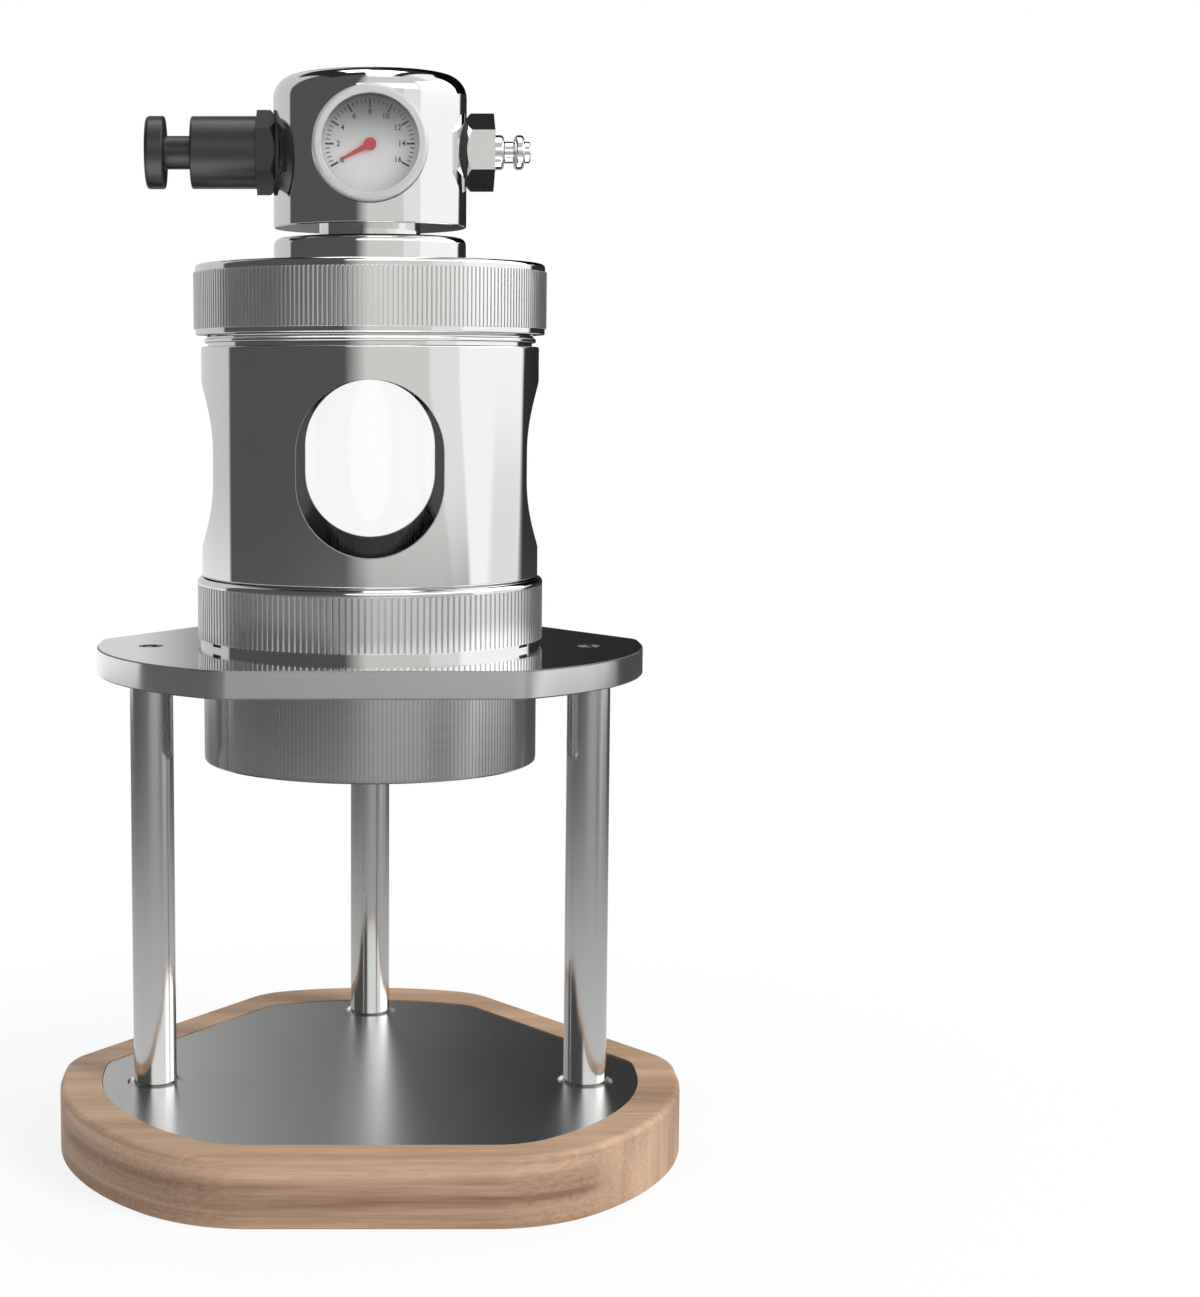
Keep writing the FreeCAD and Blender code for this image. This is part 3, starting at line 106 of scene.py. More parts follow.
PLATE_BOTTOM, PLATE_TOP = (corner.z for corner in span("top_plate"))
NECK_END, RING_TOP = (corner.z for corner in span("group_ring"))
CUP_LOW, CUP_HIGH = (corner.z for corner in span("portafilter_cup"))
CUP_RADIUS = span("portafilter_cup")[1].x
BODY_LOW, BODY_HIGH = (corner.z for corner in span("chamber_body"))
BODY_RADIUS = span("chamber_body")[1].x
CAP_LOW, CAP_HIGH = (corner.z for corner in span("cap_nut"))
CAP_RADIUS = span("cap_nut")[1].x
COLLAR_LOW, COLLAR_RADIUS = span("lid_collar")[0].z, span("lid_collar")[1].x
HEAD_LOW, HEAD_HIGH = (corner.z for corner in span("head_body"))
HEAD_RADIUS = span("head_body")[1].y
PORT_Z = (span("gauge_bezel")[0].z + span("gauge_bezel")[1].z) / 2
BEZEL_FRONT, BEZEL_BACK = (corner.y for corner in span("gauge_bezel"))
BEZEL_RADIUS = span("gauge_bezel")[1].x
DIAL_FACE = span("gauge_dial")[0].y
DIAL_RADIUS = span("gauge_dial")[1].x
LENS_RADIUS = span("gauge_lens")[1].x

ON_X = {"axis": "X", "centre": (0, 0, PORT_Z), "steps": SMALL_STEPS}
ON_Y = {"axis": "Y", "centre": (0, 0, PORT_Z), "steps": SMALL_STEPS}

# ---- sizes of the visible form ----------------------------------------------
EDGE = 0.25              # broken edge of a turned steel piece
FINE_EDGE = 0.1
HAIR = 0.01              # more than rounding and less than any step
TOOL_END = 1.0           # how far a cutting tool stands out of the piece
LEG_RADIUS = 5.1
PLATE_BORE = 40.4        # farther out than this a face is at the top plate's outer edge
FLAT, UPRIGHT = 0.95, 0.5    # upward part of the normal of a flat face and of an upright one
NECK_RADIUS = 36.4
NECK_BORE = 33.4
NECK_PLAIN = 1.0         # plain neck between its thread and the top plate
GROUP_FLOOR = 125.0
SCREEN_SEAT = 118.0
GASKET_BACK = 115.1
GROUP_PORT = 26.0
SCREEN_BORE = 28.5
RING_SOCKET = 38.05
RING_BAND = 40.3
RING_BAND_TOP = PLATE_TOP + 1.6
RING_SHOULDER = RING_TOP - 1.7
RING_CREST = 40.95
SPANNER_SLOT = 4.4
SPANNER_DEPTH = 0.8
SPANNER_ANGLES = (90.0, 208.5, 331.5)
SLOT_SKIN = 0.1          # nearer to the band's outside than this a face isn't a slot's
ALONG_RADIUS = 0.05      # sine of the angle within which a face looks along its radius
CUP_KNURL = (CUP_LOW + 0.9, CUP_HIGH - 0.4)
CUP_RIB = 0.08
RIB_SUNK, RIB_SHARE = 0.05, 0.62   # depth of a rib's foot, and rib to pitch
BODY_BORE = 36.0
SPIGOT_RADIUS = 38.0
BODY_SHOULDER = 137.1
BODY_EDGE = 190.9
GROOVE_TOP = 191.8
GROOVE_RADIUS = 38.1
BEAD_TOP = 192.7
BEAD_RADIUS = 39.0
THREAD_RADIUS = 38.5
THREAD_DEPTH = 0.6
NECK_PITCH, BODY_PITCH = 3.0, 1.5
WINDOW_WIDTH = 33.2
WINDOW_LOW = 143.7
WINDOW_HIGH = 183.4
WINDOW_TOOL = BODY_RADIUS + 5    # half length of the tool for a pair of windows
WALL_SKIN = 0.2          # deeper than this below the body's outside a face is an inner one
GLASS_RADIUS = 35.5
GLASS_BORE = 32.5
GLASS_EDGE = 0.3
CAP_THREAD = 38.8
CAP_INNER = 206.2
CAP_BORE = 20.0
CAP_KNURL = (CAP_LOW + 1.4, CAP_HIGH - 1.9)
CAP_ROOT, CAP_EXTRA = CAP_RADIUS - 0.2, 0.1   # foot and extra height of the cap's ribs
COLLAR_BORE = 11.9
NECK_TUBE = 11.85
NECK_SPIGOT = 8.0
WATERWAY = 3.0
FIT = 0.05               # gap round a piece in its socket
HEAD_FILLET = 5.2
HEAD_SOCKET_TOP = HEAD_LOW + 7.6
PORT_RADIUS = 5.0
SPOT_FACE_X = 20.8
PORT_FLOOR = SPOT_FACE_X - 8.5
VALVE_SEAT, INLET_SEAT, PORT_END = 9.4, 8.1, 30.0
GAUGE_SEAT = -16.0
GAUGE_STEM, GAUGE_STEM_LENGTH = 3.0, 8.0
POCKET_FRONT = -40.0
POCKET_GAP = 0.2         # gap round the gauge
LENS_SEAT = 11.85
DIAL_OPENING = 10.95
LENS_FRONT = BEZEL_BACK - 1.0
DIAL_ZERO = 209.0        # counter-clockwise from +X, seen from the front
DIAL_SWEEP = 238.0
DIAL_STEPS = 8           # numbered steps
DIAL_NUMBER_STEP = 2
MINOR_PER_STEP = 5
PRINT_DEPTH = 0.06
NUMBER_HEIGHT, NUMBER_BOLD, NUMBER_REACH = 1.75, 0.03, 7.15
NEEDLE_HUB, NEEDLE_ROOT, NEEDLE_TIP, NEEDLE_REACH, HUB_STEPS = 1.4, 0.62, 0.14, 7.7, 32
WASHER_BORE = 5.05
VALVE_WASHER, INLET_WASHER = 9.2, 7.9
BARREL_RADIUS = 8.35
BARREL_THREAD, BARREL_THREAD_LENGTH = 6.95, 4.0
BARREL_BORE, BARREL_MOUTH, BARREL_WALL = 6.4, 4.15, 2.6
KNOB_RADIUS, KNOB_LENGTH = 8.4, 4.35
KNOB_NECK, KNOB_STEM = 3.85, 2.2
PISTON_RADIUS, PISTON_BACK = 5.6, -32.0
PLUG_BORE, PLUG_SPIGOT, PLUG_RING, PLUG_GROOVE = 1.25, 3.4, 4.0, 2.5
PLUG_START = 28.9
PLUG_GROOVES = (PLUG_START + 2.3, PLUG_START + 4.7, PLUG_START + 7.0)
VALVE_COIL, INLET_COIL = (3, 0.7), (3, 0.5)   # turns and wire of the springs
RELIEF_TRAVEL = 4.0      # pull of the relief knob
POPPET_TRAVEL = 1.2      # opening of the check valve
FRONT_ARC_Y = -2.0       # middle of the arcs that meet the base's straight front
FRONT_DEPTH = 20.0       # how far behind that middle's front the corners end
BASE_REACH = {node: (span(node)[1].x, span(node)[0].y) for node in ("wood_base", "base_plate")}
WOOD_BLENDS = (18.1, 36.0)   # blend radius of the wood's front corners: CAD's, drawn
PLATE_BLENDS = (8.0, 20.0)   # the same for the base plate
CORNER_LOW, CORNER_HIGH, CORNER_CUTS = 21.0, 51.0, 25
FLOOR_DROP = -0.05 * MM  # keeps the floor off the face that stands on it
FLOOR_HALF = 3.0         # in metres, as the next two
SHADOW_NEAR, SHADOW_FAR = 0.07, 0.22   # the shadow is whole inside the one, gone at the other
SHADOW_WHITE = 0.84      # share of white that thins the shadow
LAMP_PLACE, LAMP_TARGET, LAMP_SIZE = (0.75, -0.55, 0.75), (0, 0, 0.08), 0.5
MIRROR_STRENGTH = 1.22   # of the room that polished metal mirrors
PICTURE_WIDTH, PICTURE_HEIGHT = 1200, 1297
FOCAL_LENGTH = 2382.5    # in pixels, as the next
AXIS_PIXEL = (370, 651.2)    # where the camera's axis meets the picture

# ---- the room that polished metal mirrors, by direction from the object -----
# Rows of tones round it: degrees from the front, towards +X, and tone.
ROWS = {
    "room": (
        (-180, "#6E6E6E"), (-177.5, "#7E7E7E"), (-175.9, "#909090"), (-175.2, "#AAAAAA"),
        (-174.6, "#C8C8C8"), (-170, "#C8C8C8"), (-111, "#C2C2C2"), (-109, "#4F4F4F"),
        (-17, "#505050"), (-2, "#CECDCB"), (119, "#CFCECC"), (127.5, "#303030"),
        (172, "#222222"), (176, "#2C2C2C"), (179, "#4C4C4C"), (180, "#6E6E6E")),
    "low": (
        (-180, "#1C1C1C"), (-172, "#1C1C1C"), (-168, "#EEEEEE"), (-111, "#EEEEEE"),
        (-109, "#545454"), (-62, "#585858"), (-14, "#6C6C6C"), (-3, "#828282"), (3, "#A8A8A8"),
        (50, "#AEAEAE"), (62, "#989898"), (69, "#848484"), (74, "#E8E8E8"), (82, "#D2D2D2"),
        (102, "#C8C8C8"), (109, "#A8A8A8"), (122, "#A2A2A2"), (126, "#484848"),
        (172, "#484848"), (176, "#1C1C1C"), (180, "#1C1C1C")),
    "cup": (
        (-180, "#C0C0C0"), (-160, "#B4B4B4"), (-145, "#6C6C6C"), (-108, "#686868"),
        (-80, "#585858"), (-50, "#606060"), (-24, "#707070"), (0, "#969696"), (20, "#A2A2A2"),
        (34, "#9E9E9E"), (46, "#747474"), (54, "#787878"), (64, "#B4B4B4"), (74, "#BEBEBE"),
        (84, "#989898"), (104, "#929292"), (116, "#545454"), (130, "#444444"),
        (180, "#646464")),
}
GROUND_END = -40.0       # rise of the ground's first tone; its last is below level
GROUND = ((0.0, "#D4D4D4"), (0.6, "#CECECE"), (0.66, "#B8B8B8"), (0.72, "#949494"),
          (0.78, "#787878"))
# Layers: a tone, a row's name or a lamp's strength, then low limit, high limit and softness by
# measure. Turn and rise are in degrees, x, y and z are parts of the direction, and the others
# are a turn that slants with the rise. 200 and 2.0 are beyond every direction.
LOW_LAYERS = (("cup", {"rise": (-200, -7.3, 0.4)}),)
LAYERS = (
    ("#E3E3E2", {"steep": (40, 200, 1.5), "slanted": (30, 125.3, 3.5)}),
    ("low", {"rise": (-200, -4.5, 2.5)}),
    ("#F8F8F8", {"shallow": (62, 200, 1.5), "slanted": (40, 125.3, 3.5), "rise": (-6.3, 200, 1.3)}),
    ("#E0E0E0", {"slanted": (94, 125.3, 3.5), "rise": (-6.5, -1.5, 1.8)}),
    ("ground", {"rise": (-200, -10.5, 2.0)}),
    ("#2A2A2A", {"x": (-0.52, 0.43, 0.03), "y": (-0.22, 2.0, 0.03), "z": (0.64, 2.0, 0.03)}),
    ("#F8F8F8", {"x": (0.44, 2.0, 0.02), "y": (0.0, 0.70, 0.04), "z": (0.45, 2.0, 0.05)}),
    (3.0, {"x": (-0.04, 0.30, 0.02), "y": (-0.36, 0.36, 0.03), "z": (0.6, 2.0, 0.02)}),
    (3.0, {"x": (-0.22, 0.0, 0.02), "y": (0.10, 0.42, 0.03), "z": (0.6, 2.0, 0.02)}),
    (2.4, {"turn": (64, 126, 2.0), "rise": (9.0, 38.0, 3.0)}),
    (2.4, {"y": (-2.0, -0.25, 0.05), "z": (-2.0, -0.55, 0.04)}),
    ("#242424", {"y": (-0.05, 2.0, 0.05), "z": (-2.0, -0.55, 0.04)}),
    ("#080808", {"turn": (126, 178, 1.5), "rise": (9.5, 46, 1.5)}),
    (1.5, {"turn": (-16, 60, 2.0), "rise": (11, 30, 1.5)}),
)


# ---- settings ---------------------------------------------------------------
def linear(value):
    """sRGB hex to linear RGBA."""
    channels = []
    for start in (1, 3, 5):
        level = int(value[start:start + 2], 16) / 255
        if level <= 0.04045:
            channels.append(level / 12.92)
        else:
            channels.append(((level + 0.055) / 1.055) ** 2.4)
    return (*channels, 1.0)


def colour_setting(name, description, value):
    """A colour property whose default is an sRGB hex value."""
    return bpy.props.FloatVectorProperty(name=name, description=description, subtype="COLOR",
                                         size=4, min=0.0, max=1.0, default=linear(value))


def count_setting(name, description, value):
    """A number of ribs."""
    return bpy.props.IntProperty(name=name, description=description, default=value, min=12)


def length_setting(name, description, value):
    """A length, its default in millimetres."""
    return bpy.props.FloatProperty(name=name, description=description, default=value * MM,
                                   min=0.0, unit="LENGTH", subtype="DISTANCE")


class KnurlSettings(bpy.types.PropertyGroup):
    """Straight knurls of the cap, the lower ring and the portafilter cup."""

    cap_ribs: count_setting("Cap ribs", "Ribs round the cap nut", 236)
    ring_ribs: count_setting("Ring ribs", "Ribs round the lower ring", 175)
    cup_ribs: count_setting("Cup ribs", "Fine ribs round the portafilter cup", 249)
    rib_height: length_setting("Rib height", "Height of a rib above its root", 0.5)


class FinishSettings(bpy.types.PropertyGroup):
    """Colours of the finishes."""

    steel: colour_setting("Steel", "Polished stainless steel", "#E6E6E5")
    satin: colour_setting("Satin steel", "Ground and brushed stainless steel", "#D2D2D1")
    # The wood colours also carry painted light: the top leans to the light one, upright faces to
    # the dark.
    wood_light: colour_setting("Light wood", "Early wood between the rings", "#CFAC8D")
    wood_dark: colour_setting("Dark wood", "Late wood of the rings", "#7F5F49")
    black: colour_setting("Black", "Black anodised aluminium", "#202021")
    silver: colour_setting("Gauge silver", "Lacquered gauge ring", "#C2C2C2")
    print_ink: colour_setting("Dial print", "Ticks and numbers", "#202020")
    needle: colour_setting("Needle", "Enamel of the needle", "#D4101C")
    rubber: colour_setting("Rubber", "Washers", "#1B1B1B")
    silicone: colour_setting("Silicone", "Seals and gasket", "#D8D8D4")


class StudioSettings(bpy.types.PropertyGroup):
    """Camera and light."""

    distance: length_setting("Camera distance", "Along -Y from the brewing axis", 566.2)
    height: length_setting("Camera height", "Above the ground", 182.8)
    pitch: bpy.props.FloatProperty(
        name="Camera pitch", description="Downward tilt", default=math.radians(6.45),
        subtype="ANGLE", unit="ROTATION")
    fill: bpy.props.FloatProperty(
        name="Fill light", description="Even light from all round", default=0.62, min=0.0)
    key: bpy.props.FloatProperty(
        name="Key light", description="Power of the soft lamp at the right", default=9.0,
        min=0.0, unit="POWER")


# ---- mesh helpers -----------------------------------------------------------
def linked(name, data):
    """New object in the scene."""
    made = bpy.data.objects.new(name, data)
    bpy.context.scene.collection.objects.link(made)
    return made


def smooth_mesh(name, builder):
    """The builder's faces as a mesh, shaded smooth between sharp edges."""
    mesh = bpy.data.meshes.new(name)
    builder.to_mesh(mesh)
    builder.free()
    if "custom_normal" in mesh.attributes:
        mesh.attributes.remove(mesh.attributes["custom_normal"])
    mesh.shade_smooth()
    mesh.set_sharp_from_angle(angle=SHARP_ANGLE)
    return mesh


def settle(piece, node):
    """The piece rides with its CAD node and stands for it."""
    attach(piece, BODY_OF[node])
    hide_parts(node)
    return piece


def trim(piece, node):
    """A piece of trim that rides with a CAD node without standing for it."""
    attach(piece, BODY_OF[node])


def dress(node, look):
    """Gives a CAD node that stays in view a finished material."""
    for slot in NODES[node].material_slots:
        slot.material = finish(look)


def closed_piece(name, builder, look=None, node=None):
    """Object with outward faces; it gets a finish, and stands for a CAD node, if they are named."""
    bmesh.ops.recalc_face_normals(builder, faces=builder.faces)
    mesh = smooth_mesh(name, builder)
    if look:
        mesh.materials.append(finish(look))
    made = linked(name, mesh)
    return settle(made, node) if node else made


def rounded(corners):
    """Plain (radius, along) points from (radius, along[, fillet]) corners."""
    points = []
    for number, corner in enumerate(corners):
        radius, along = corner[:2]
        fillet = corner[2] if len(corner) > 2 else 0.0
        if not fillet:
            points.append((radius, along))
            continue
        here = Vector((radius, along))
        before = Vector(corners[number - 1][:2]) - here
        after = Vector(corners[(number + 1) % len(corners)][:2]) - here
        half = before.angle(after) / 2
        reach = fillet / math.tan(half)
        before.normalize()
        after.normalize()
        middle = here + (before + after).normalized() * (fillet / math.sin(half))
        start = here + before * reach - middle
        end = here + after * reach - middle
        first = math.atan2(start.y, start.x)
        sweep = math.remainder(math.atan2(end.y, end.x) - first, TURN)
        points.append(tuple(here + before * (reach + TANGENT_BAND)))
        for step in range(ARC_STEPS + 1):
            angle = first + sweep * step / ARC_STEPS
            points.append((middle.x + fillet * math.cos(angle),
                           middle.y + fillet * math.sin(angle)))
        points.append(tuple(here + after * (reach + TANGENT_BAND)))
    return points


def on_axis(axis, radius, along, angle):
    """Point of a turned piece."""
    across, up = radius * math.cos(angle), radius * math.sin(angle)
    if axis == "Z":
        return Vector((across, up, along))
    if axis == "X":
        return Vector((along, across, up))
    return Vector((across, along, up))


def turned(name, corners, look=None, node=None, axis="Z", centre=(0, 0, 0), steps=ROUND_STEPS):
    """Closed turned piece; its profile is a ring, or starts and ends on the axis."""
    middle = Vector(centre)
    builder = bmesh.new()
    rings = []
    for radius, along in rounded(corners):
        if radius < 1e-6:
            rings.append([builder.verts.new((on_axis(axis, 0, along, 0) + middle) * MM)])
            continue
        places = [on_axis(axis, radius, along, TURN * k / steps) + middle for k in range(steps)]
        rings.append([builder.verts.new(place * MM) for place in places])
    pairs = list(zip(rings, rings[1:]))
    if len(rings[0]) > 1:
        pairs.append((rings[-1], rings[0]))
    for one, other in pairs:
        for k in range(steps):
            nxt = (k + 1) % steps
            around = [one[k % len(one)], one[nxt % len(one)],
                      other[nxt % len(other)], other[k % len(other)]]
            unique = list(dict.fromkeys(around))
            if len(unique) > 2:
                builder.faces.new(unique)
    return closed_piece(name, builder, look, node)


def tube(name, look, node, bore, radius, edges, **place):
    """Round piece as long as its CAD node, with its two outer edges broken."""
    along = "XYZ".index(place.get("axis", "Z"))
    low, high = (corner[along] for corner in span(node))
    turned(name, [(bore, low), (radius, low, edges[0]), (radius, high, edges[1]), (bore, high)],
           look, node, **place)


def bar(name, rings, look=None, node=None):
    """Bar with closed ends through rings of places, each ring with as many places."""
    builder = bmesh.new()
    made = [[builder.verts.new(Vector(place) * MM) for place in ring] for ring in rings]
    for one, other in zip(made, made[1:]):
        for k in range(len(one)):
            nxt = (k + 1) % len(one)
            builder.faces.new((one[k], one[nxt], other[nxt], other[k]))
    builder.faces.new(made[0])
    builder.faces.new(made[-1])
    return closed_piece(name, builder, look, node)


def prism(name, outline, low, high, axis, look=None, node=None):
    """Bar along X or Y with the given outline of (across, height) points."""
    if axis == "X":
        rings = [[(along, across, height) for across, height in outline] for along in (low, high)]
    else:
        rings = [[(across, along, height) for across, height in outline] for along in (low, high)]
    return bar(name, rings, look, node)


def flatten(piece):
    """Turns the piece with its modifiers into a plain mesh."""
    bpy.context.view_layer.update()
    graph = bpy.context.evaluated_depsgraph_get()
    plain = bpy.data.meshes.new_from_object(piece.evaluated_get(graph), depsgraph=graph)
    if not plain.polygons:
        raise RuntimeError(f"{piece.name} came out empty")
    piece.modifiers.clear()
    piece.data = plain
    return piece


def cut(piece, *tools):
    """Takes the tools out of the piece and deletes them."""
    for tool in tools:
        modifier = piece.modifiers.new("cut", "BOOLEAN")
        modifier.operation = "DIFFERENCE"
        modifier.solver = "EXACT"
        modifier.object = tool
    flatten(piece)
    for tool in tools:
        bpy.data.objects.remove(tool)
    piece.data.shade_smooth()
    piece.data.set_sharp_from_angle(angle=SHARP_ANGLE)


def repaint(piece, looks, choose):
    """Adds finishes to a piece; choose gives a face's number from its centre and its normal."""
    for look in looks:
        piece.data.materials.append(finish(look))
    for face in piece.data.polygons:
        face.material_index = choose(face.center / MM, face.normal)


def refined(name, node, look, reshape=None):
    """Merged, smooth-shaded copy of a CAD node, which it stands for."""
    builder = bmesh.new()
    builder.from_mesh(NODES[node].data)
    bmesh.ops.remove_doubles(builder, verts=builder.verts, dist=MERGE * MM)
    bmesh.ops.dissolve_degenerate(builder, edges=builder.edges, dist=SLIVER * MM)
    if reshape is not None:
        reshape(builder)
    mesh = smooth_mesh(name, builder)
    mesh.materials.clear()
    mesh.materials.append(finish(look))
    made = linked(name, mesh)
    modifier = made.modifiers.new("even shading", "WEIGHTED_NORMAL")
    modifier.keep_sharp = True
    return settle(flatten(made), node)


def front_edge(across, node, blend):
    """Y of a base outline's front, that far from the middle: straight, a blend, then an arc."""
    arc, flat = BASE_REACH[node]
    across = abs(across)
    end = math.sqrt((arc - blend) ** 2 - (flat + blend - FRONT_ARC_Y) ** 2)
    if across <= end:
        return flat
    if across <= end * arc / (arc - blend):
        return flat + blend - math.sqrt(blend ** 2 - (across - end) ** 2)
    return FRONT_ARC_Y - math.sqrt(max(arc ** 2 - across ** 2, 0.0))


def unit(value):
    """The value, held between 0 and 1."""
    return min(max(value, 0.0), 1.0)


def soften_corners(builder):
    """Widens the blends of the base's front corners by under 1.2 mm; wood and plate still fit."""
    for number in range(CORNER_CUTS):
        for side in (-1, 1):
            place = side * (CORNER_LOW + (CORNER_HIGH - CORNER_LOW) * number / (CORNER_CUTS - 1))
            everything = builder.verts[:] + builder.edges[:] + builder.faces[:]
            bmesh.ops.bisect_plane(builder, geom=everything, plane_co=(place * MM, 0, 0),
                                   plane_no=(1, 0, 0), dist=HAIR * MM)
    hold, change = 0.4, 0.5      # share of the way to the plate's edge where its move takes over
    rim, fade_width = 1.0, 5.0   # how far behind that edge the move fades out
    for vertex in builder.verts:
        across, along = vertex.co.x / MM, vertex.co.y / MM
        if along > FRONT_ARC_Y - FRONT_DEPTH:
            continue
        wood = front_edge(across, "wood_base", WOOD_BLENDS[0])
        plate = front_edge(across, "base_plate", PLATE_BLENDS[0])
        wood_move = front_edge(across, "wood_base", WOOD_BLENDS[1]) - wood
        plate_move = front_edge(across, "base_plate", PLATE_BLENDS[1]) - plate
        share = unit(((along - wood) / (plate - wood) - hold) / change)
        fade = 1 - unit((along - plate - rim) / fade_width)
        vertex.co.y += (wood_move * (1 - share) + plate_move * share) * fade * MM


def spring(name, node, turns, wire, joint, travel):
    """Round-wire compression spring along X; the joint is not used."""
    low, high = span(node)
    radius = (high.z - low.z - wire) / 2
    length = high.x - low.x
    steps, sides = int(turns * COIL_STEPS), WIRE_SIDES
    rings = []
    for step in range(steps + 1):
        angle = TURN * turns * step / steps
        along = low.x + wire / 2 + (length - wire) * step / steps
        out = Vector((0, math.cos(angle), math.sin(angle)))
        ring = []
        for side in range(sides):
            around = TURN * side / sides
            place = Vector((along + wire / 2 * math.sin(around), 0, PORT_Z))
            ring.append(place + out * (radius + wire / 2 * math.cos(around)))
        rings.append(ring)
    coil = bar(name, rings, "screw", node)
    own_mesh(coil)


def thread_rings(low, high, crest, pitch):
    """Corners of a thread seen from the side, from low to high."""
    root = crest - THREAD_DEPTH
    flanks = ((crest, 0.12), (crest, 0.30), (root, 0.60), (root, 0.80))
    return [(radius, low + number * pitch + share * pitch)
            for number in range(int((high - low) / pitch)) for radius, share in flanks]


# ---- node helpers -----------------------------------------------------------
def add(tree, kind, inputs=(), stops=(), **settings):
    """Adds a node with its settings, sets or links its inputs and fills its colour stops.

    A kind without Node in it is a shader's. Inputs go by order, or by socket in a dict. A node
    as a value stands for its first output.
    """
    made = tree.nodes.new(kind if "Node" in kind else "ShaderNode" + kind)
    for key, value in settings.items():
        setattr(made, key, value)
    for socket, value in inputs.items() if isinstance(inputs, dict) else enumerate(inputs):
        if isinstance(value, bpy.types.Node):
            value = value.outputs[0]
        if isinstance(value, bpy.types.NodeSocket):
            tree.links.new(value, made.inputs[socket])
        else:
            made.inputs[socket].default_value = value
    while stops and len(made.color_ramp.elements) < len(stops):
        made.color_ramp.elements.new(0.5)
    for element, (position, value_hex) in zip(made.color_ramp.elements if stops else (), stops):
        element.position = position
        element.color = linear(value_hex)
    return made


def empty_tree(block):
    """Node tree of a material or a world, emptied."""
    block.use_nodes = True
    block.node_tree.nodes.clear()
    return block.node_tree


def grain(tree, repeats, detail=2.0, phase=(0, 0, 0), distortion=0.0):
    """Noise on object coordinates, with its repeats per metre along X, Y and Z."""
    place = add(tree, "TexCoord").outputs["Object"]
    moved = add(tree, "Mapping", {"Vector": place, "Location": phase, "Scale": repeats})
    return add(tree, "TexNoise", {
        "Vector": moved, "Scale": 1.0, "Detail": detail, "Roughness": 0.5,
        "Distortion": distortion,
    })


def colour_of(value):
    """Linear colour from sRGB hex, or from the name of a colour setting."""
    if value.startswith("#"):
        return linear(value)
    return tuple(getattr(bpy.context.scene.espresso_finish, value))


def dim(colour, share):
    """The colour at a share of its brightness."""
    return tuple(share * channel for channel in colour[:3]) + (1.0,)


def noisy(name, paint, repeats, roughness, detail, inputs, relief=()):
    """Finish whose roughness follows a noise, from its low end to its high.

    Paint is a colour, one with another or with its share at the noise's high end, or a function
    of the tree and the noise. Relief is a depth in millimetres, a strength, and the repeats of
    its own noise if it has one.
    """
    material = bpy.data.materials.new(name)
    tree = empty_tree(material)
    noise = grain(tree, repeats, detail)
    if callable(paint):
        tone = paint(tree, noise)
    elif isinstance(paint, str):
        tone = colour_of(paint)
    else:
        low, high = colour_of(paint[0]), paint[1]
        high = dim(low, high) if isinstance(high, float) else colour_of(high)
        tone = add(tree, "Mix", {0: noise, 6: low, 7: high}, data_type="RGBA").outputs[2]
    inputs = {**inputs, "Base Color": tone,
              "Roughness": add(tree, "MapRange", (noise, 0.0, 1.0, *roughness))}
    if relief:
        depth, strength, *own = relief
        height = grain(tree, own[0]) if own else noise
        inputs["Normal"] = add(tree, "Bump", {
            "Height": height, "Distance": depth * MM, "Strength": strength,
        })
    shader = add(tree, "BsdfPrincipled", inputs)
    add(tree, "OutputMaterial", {"Surface": shader})
    return material


# ---- finishes ---------------------------------------------------------------
def knurl_paint_with_groove_shade(tree, noise):
    """Satin crests and grooves darkened by painted shade, told apart by their distance from the
    axis.
    """
    satin = colour_of("satin")
    place = add(tree, "TexCoord").outputs["Object"]
    level = add(tree, "VectorMath", (place, (1.0, 1.0, 0.0)), operation="MULTIPLY")
    radius = add(tree, "VectorMath", (level,), operation="LENGTH").outputs["Value"]
    low, high = (CUP_RADIUS + 0.02) * MM, (CUP_RADIUS + 0.05) * MM
    crest = add(tree, "MapRange", (radius, low, high, 0.0, 1.0))
    return add(tree, "Mix", {0: crest, 6: dim(satin, 0.86), 7: satin}, data_type="RGBA").outputs[2]


def dial_paint(tree, noise):
    """White with painted shade that greys it towards the top, where the ring would shade it."""
    place = add(tree, "TexCoord").outputs["Object"]
    height = add(tree, "SeparateXYZ", (place,)).outputs["Z"]
    bottom, top = (PORT_Z - DIAL_RADIUS) * MM, (PORT_Z + DIAL_RADIUS) * MM
    up = add(tree, "MapRange", (height, bottom, top, 0.0, 1.0))
    return add(tree, "ValToRGB", (up,), stops=(
        (0.0, "#FFFFFF"), (0.45, "#F4F4F4"), (0.64, "#CECECE"), (0.82, "#8A8A8A"),
        (1.0, "#565656")))


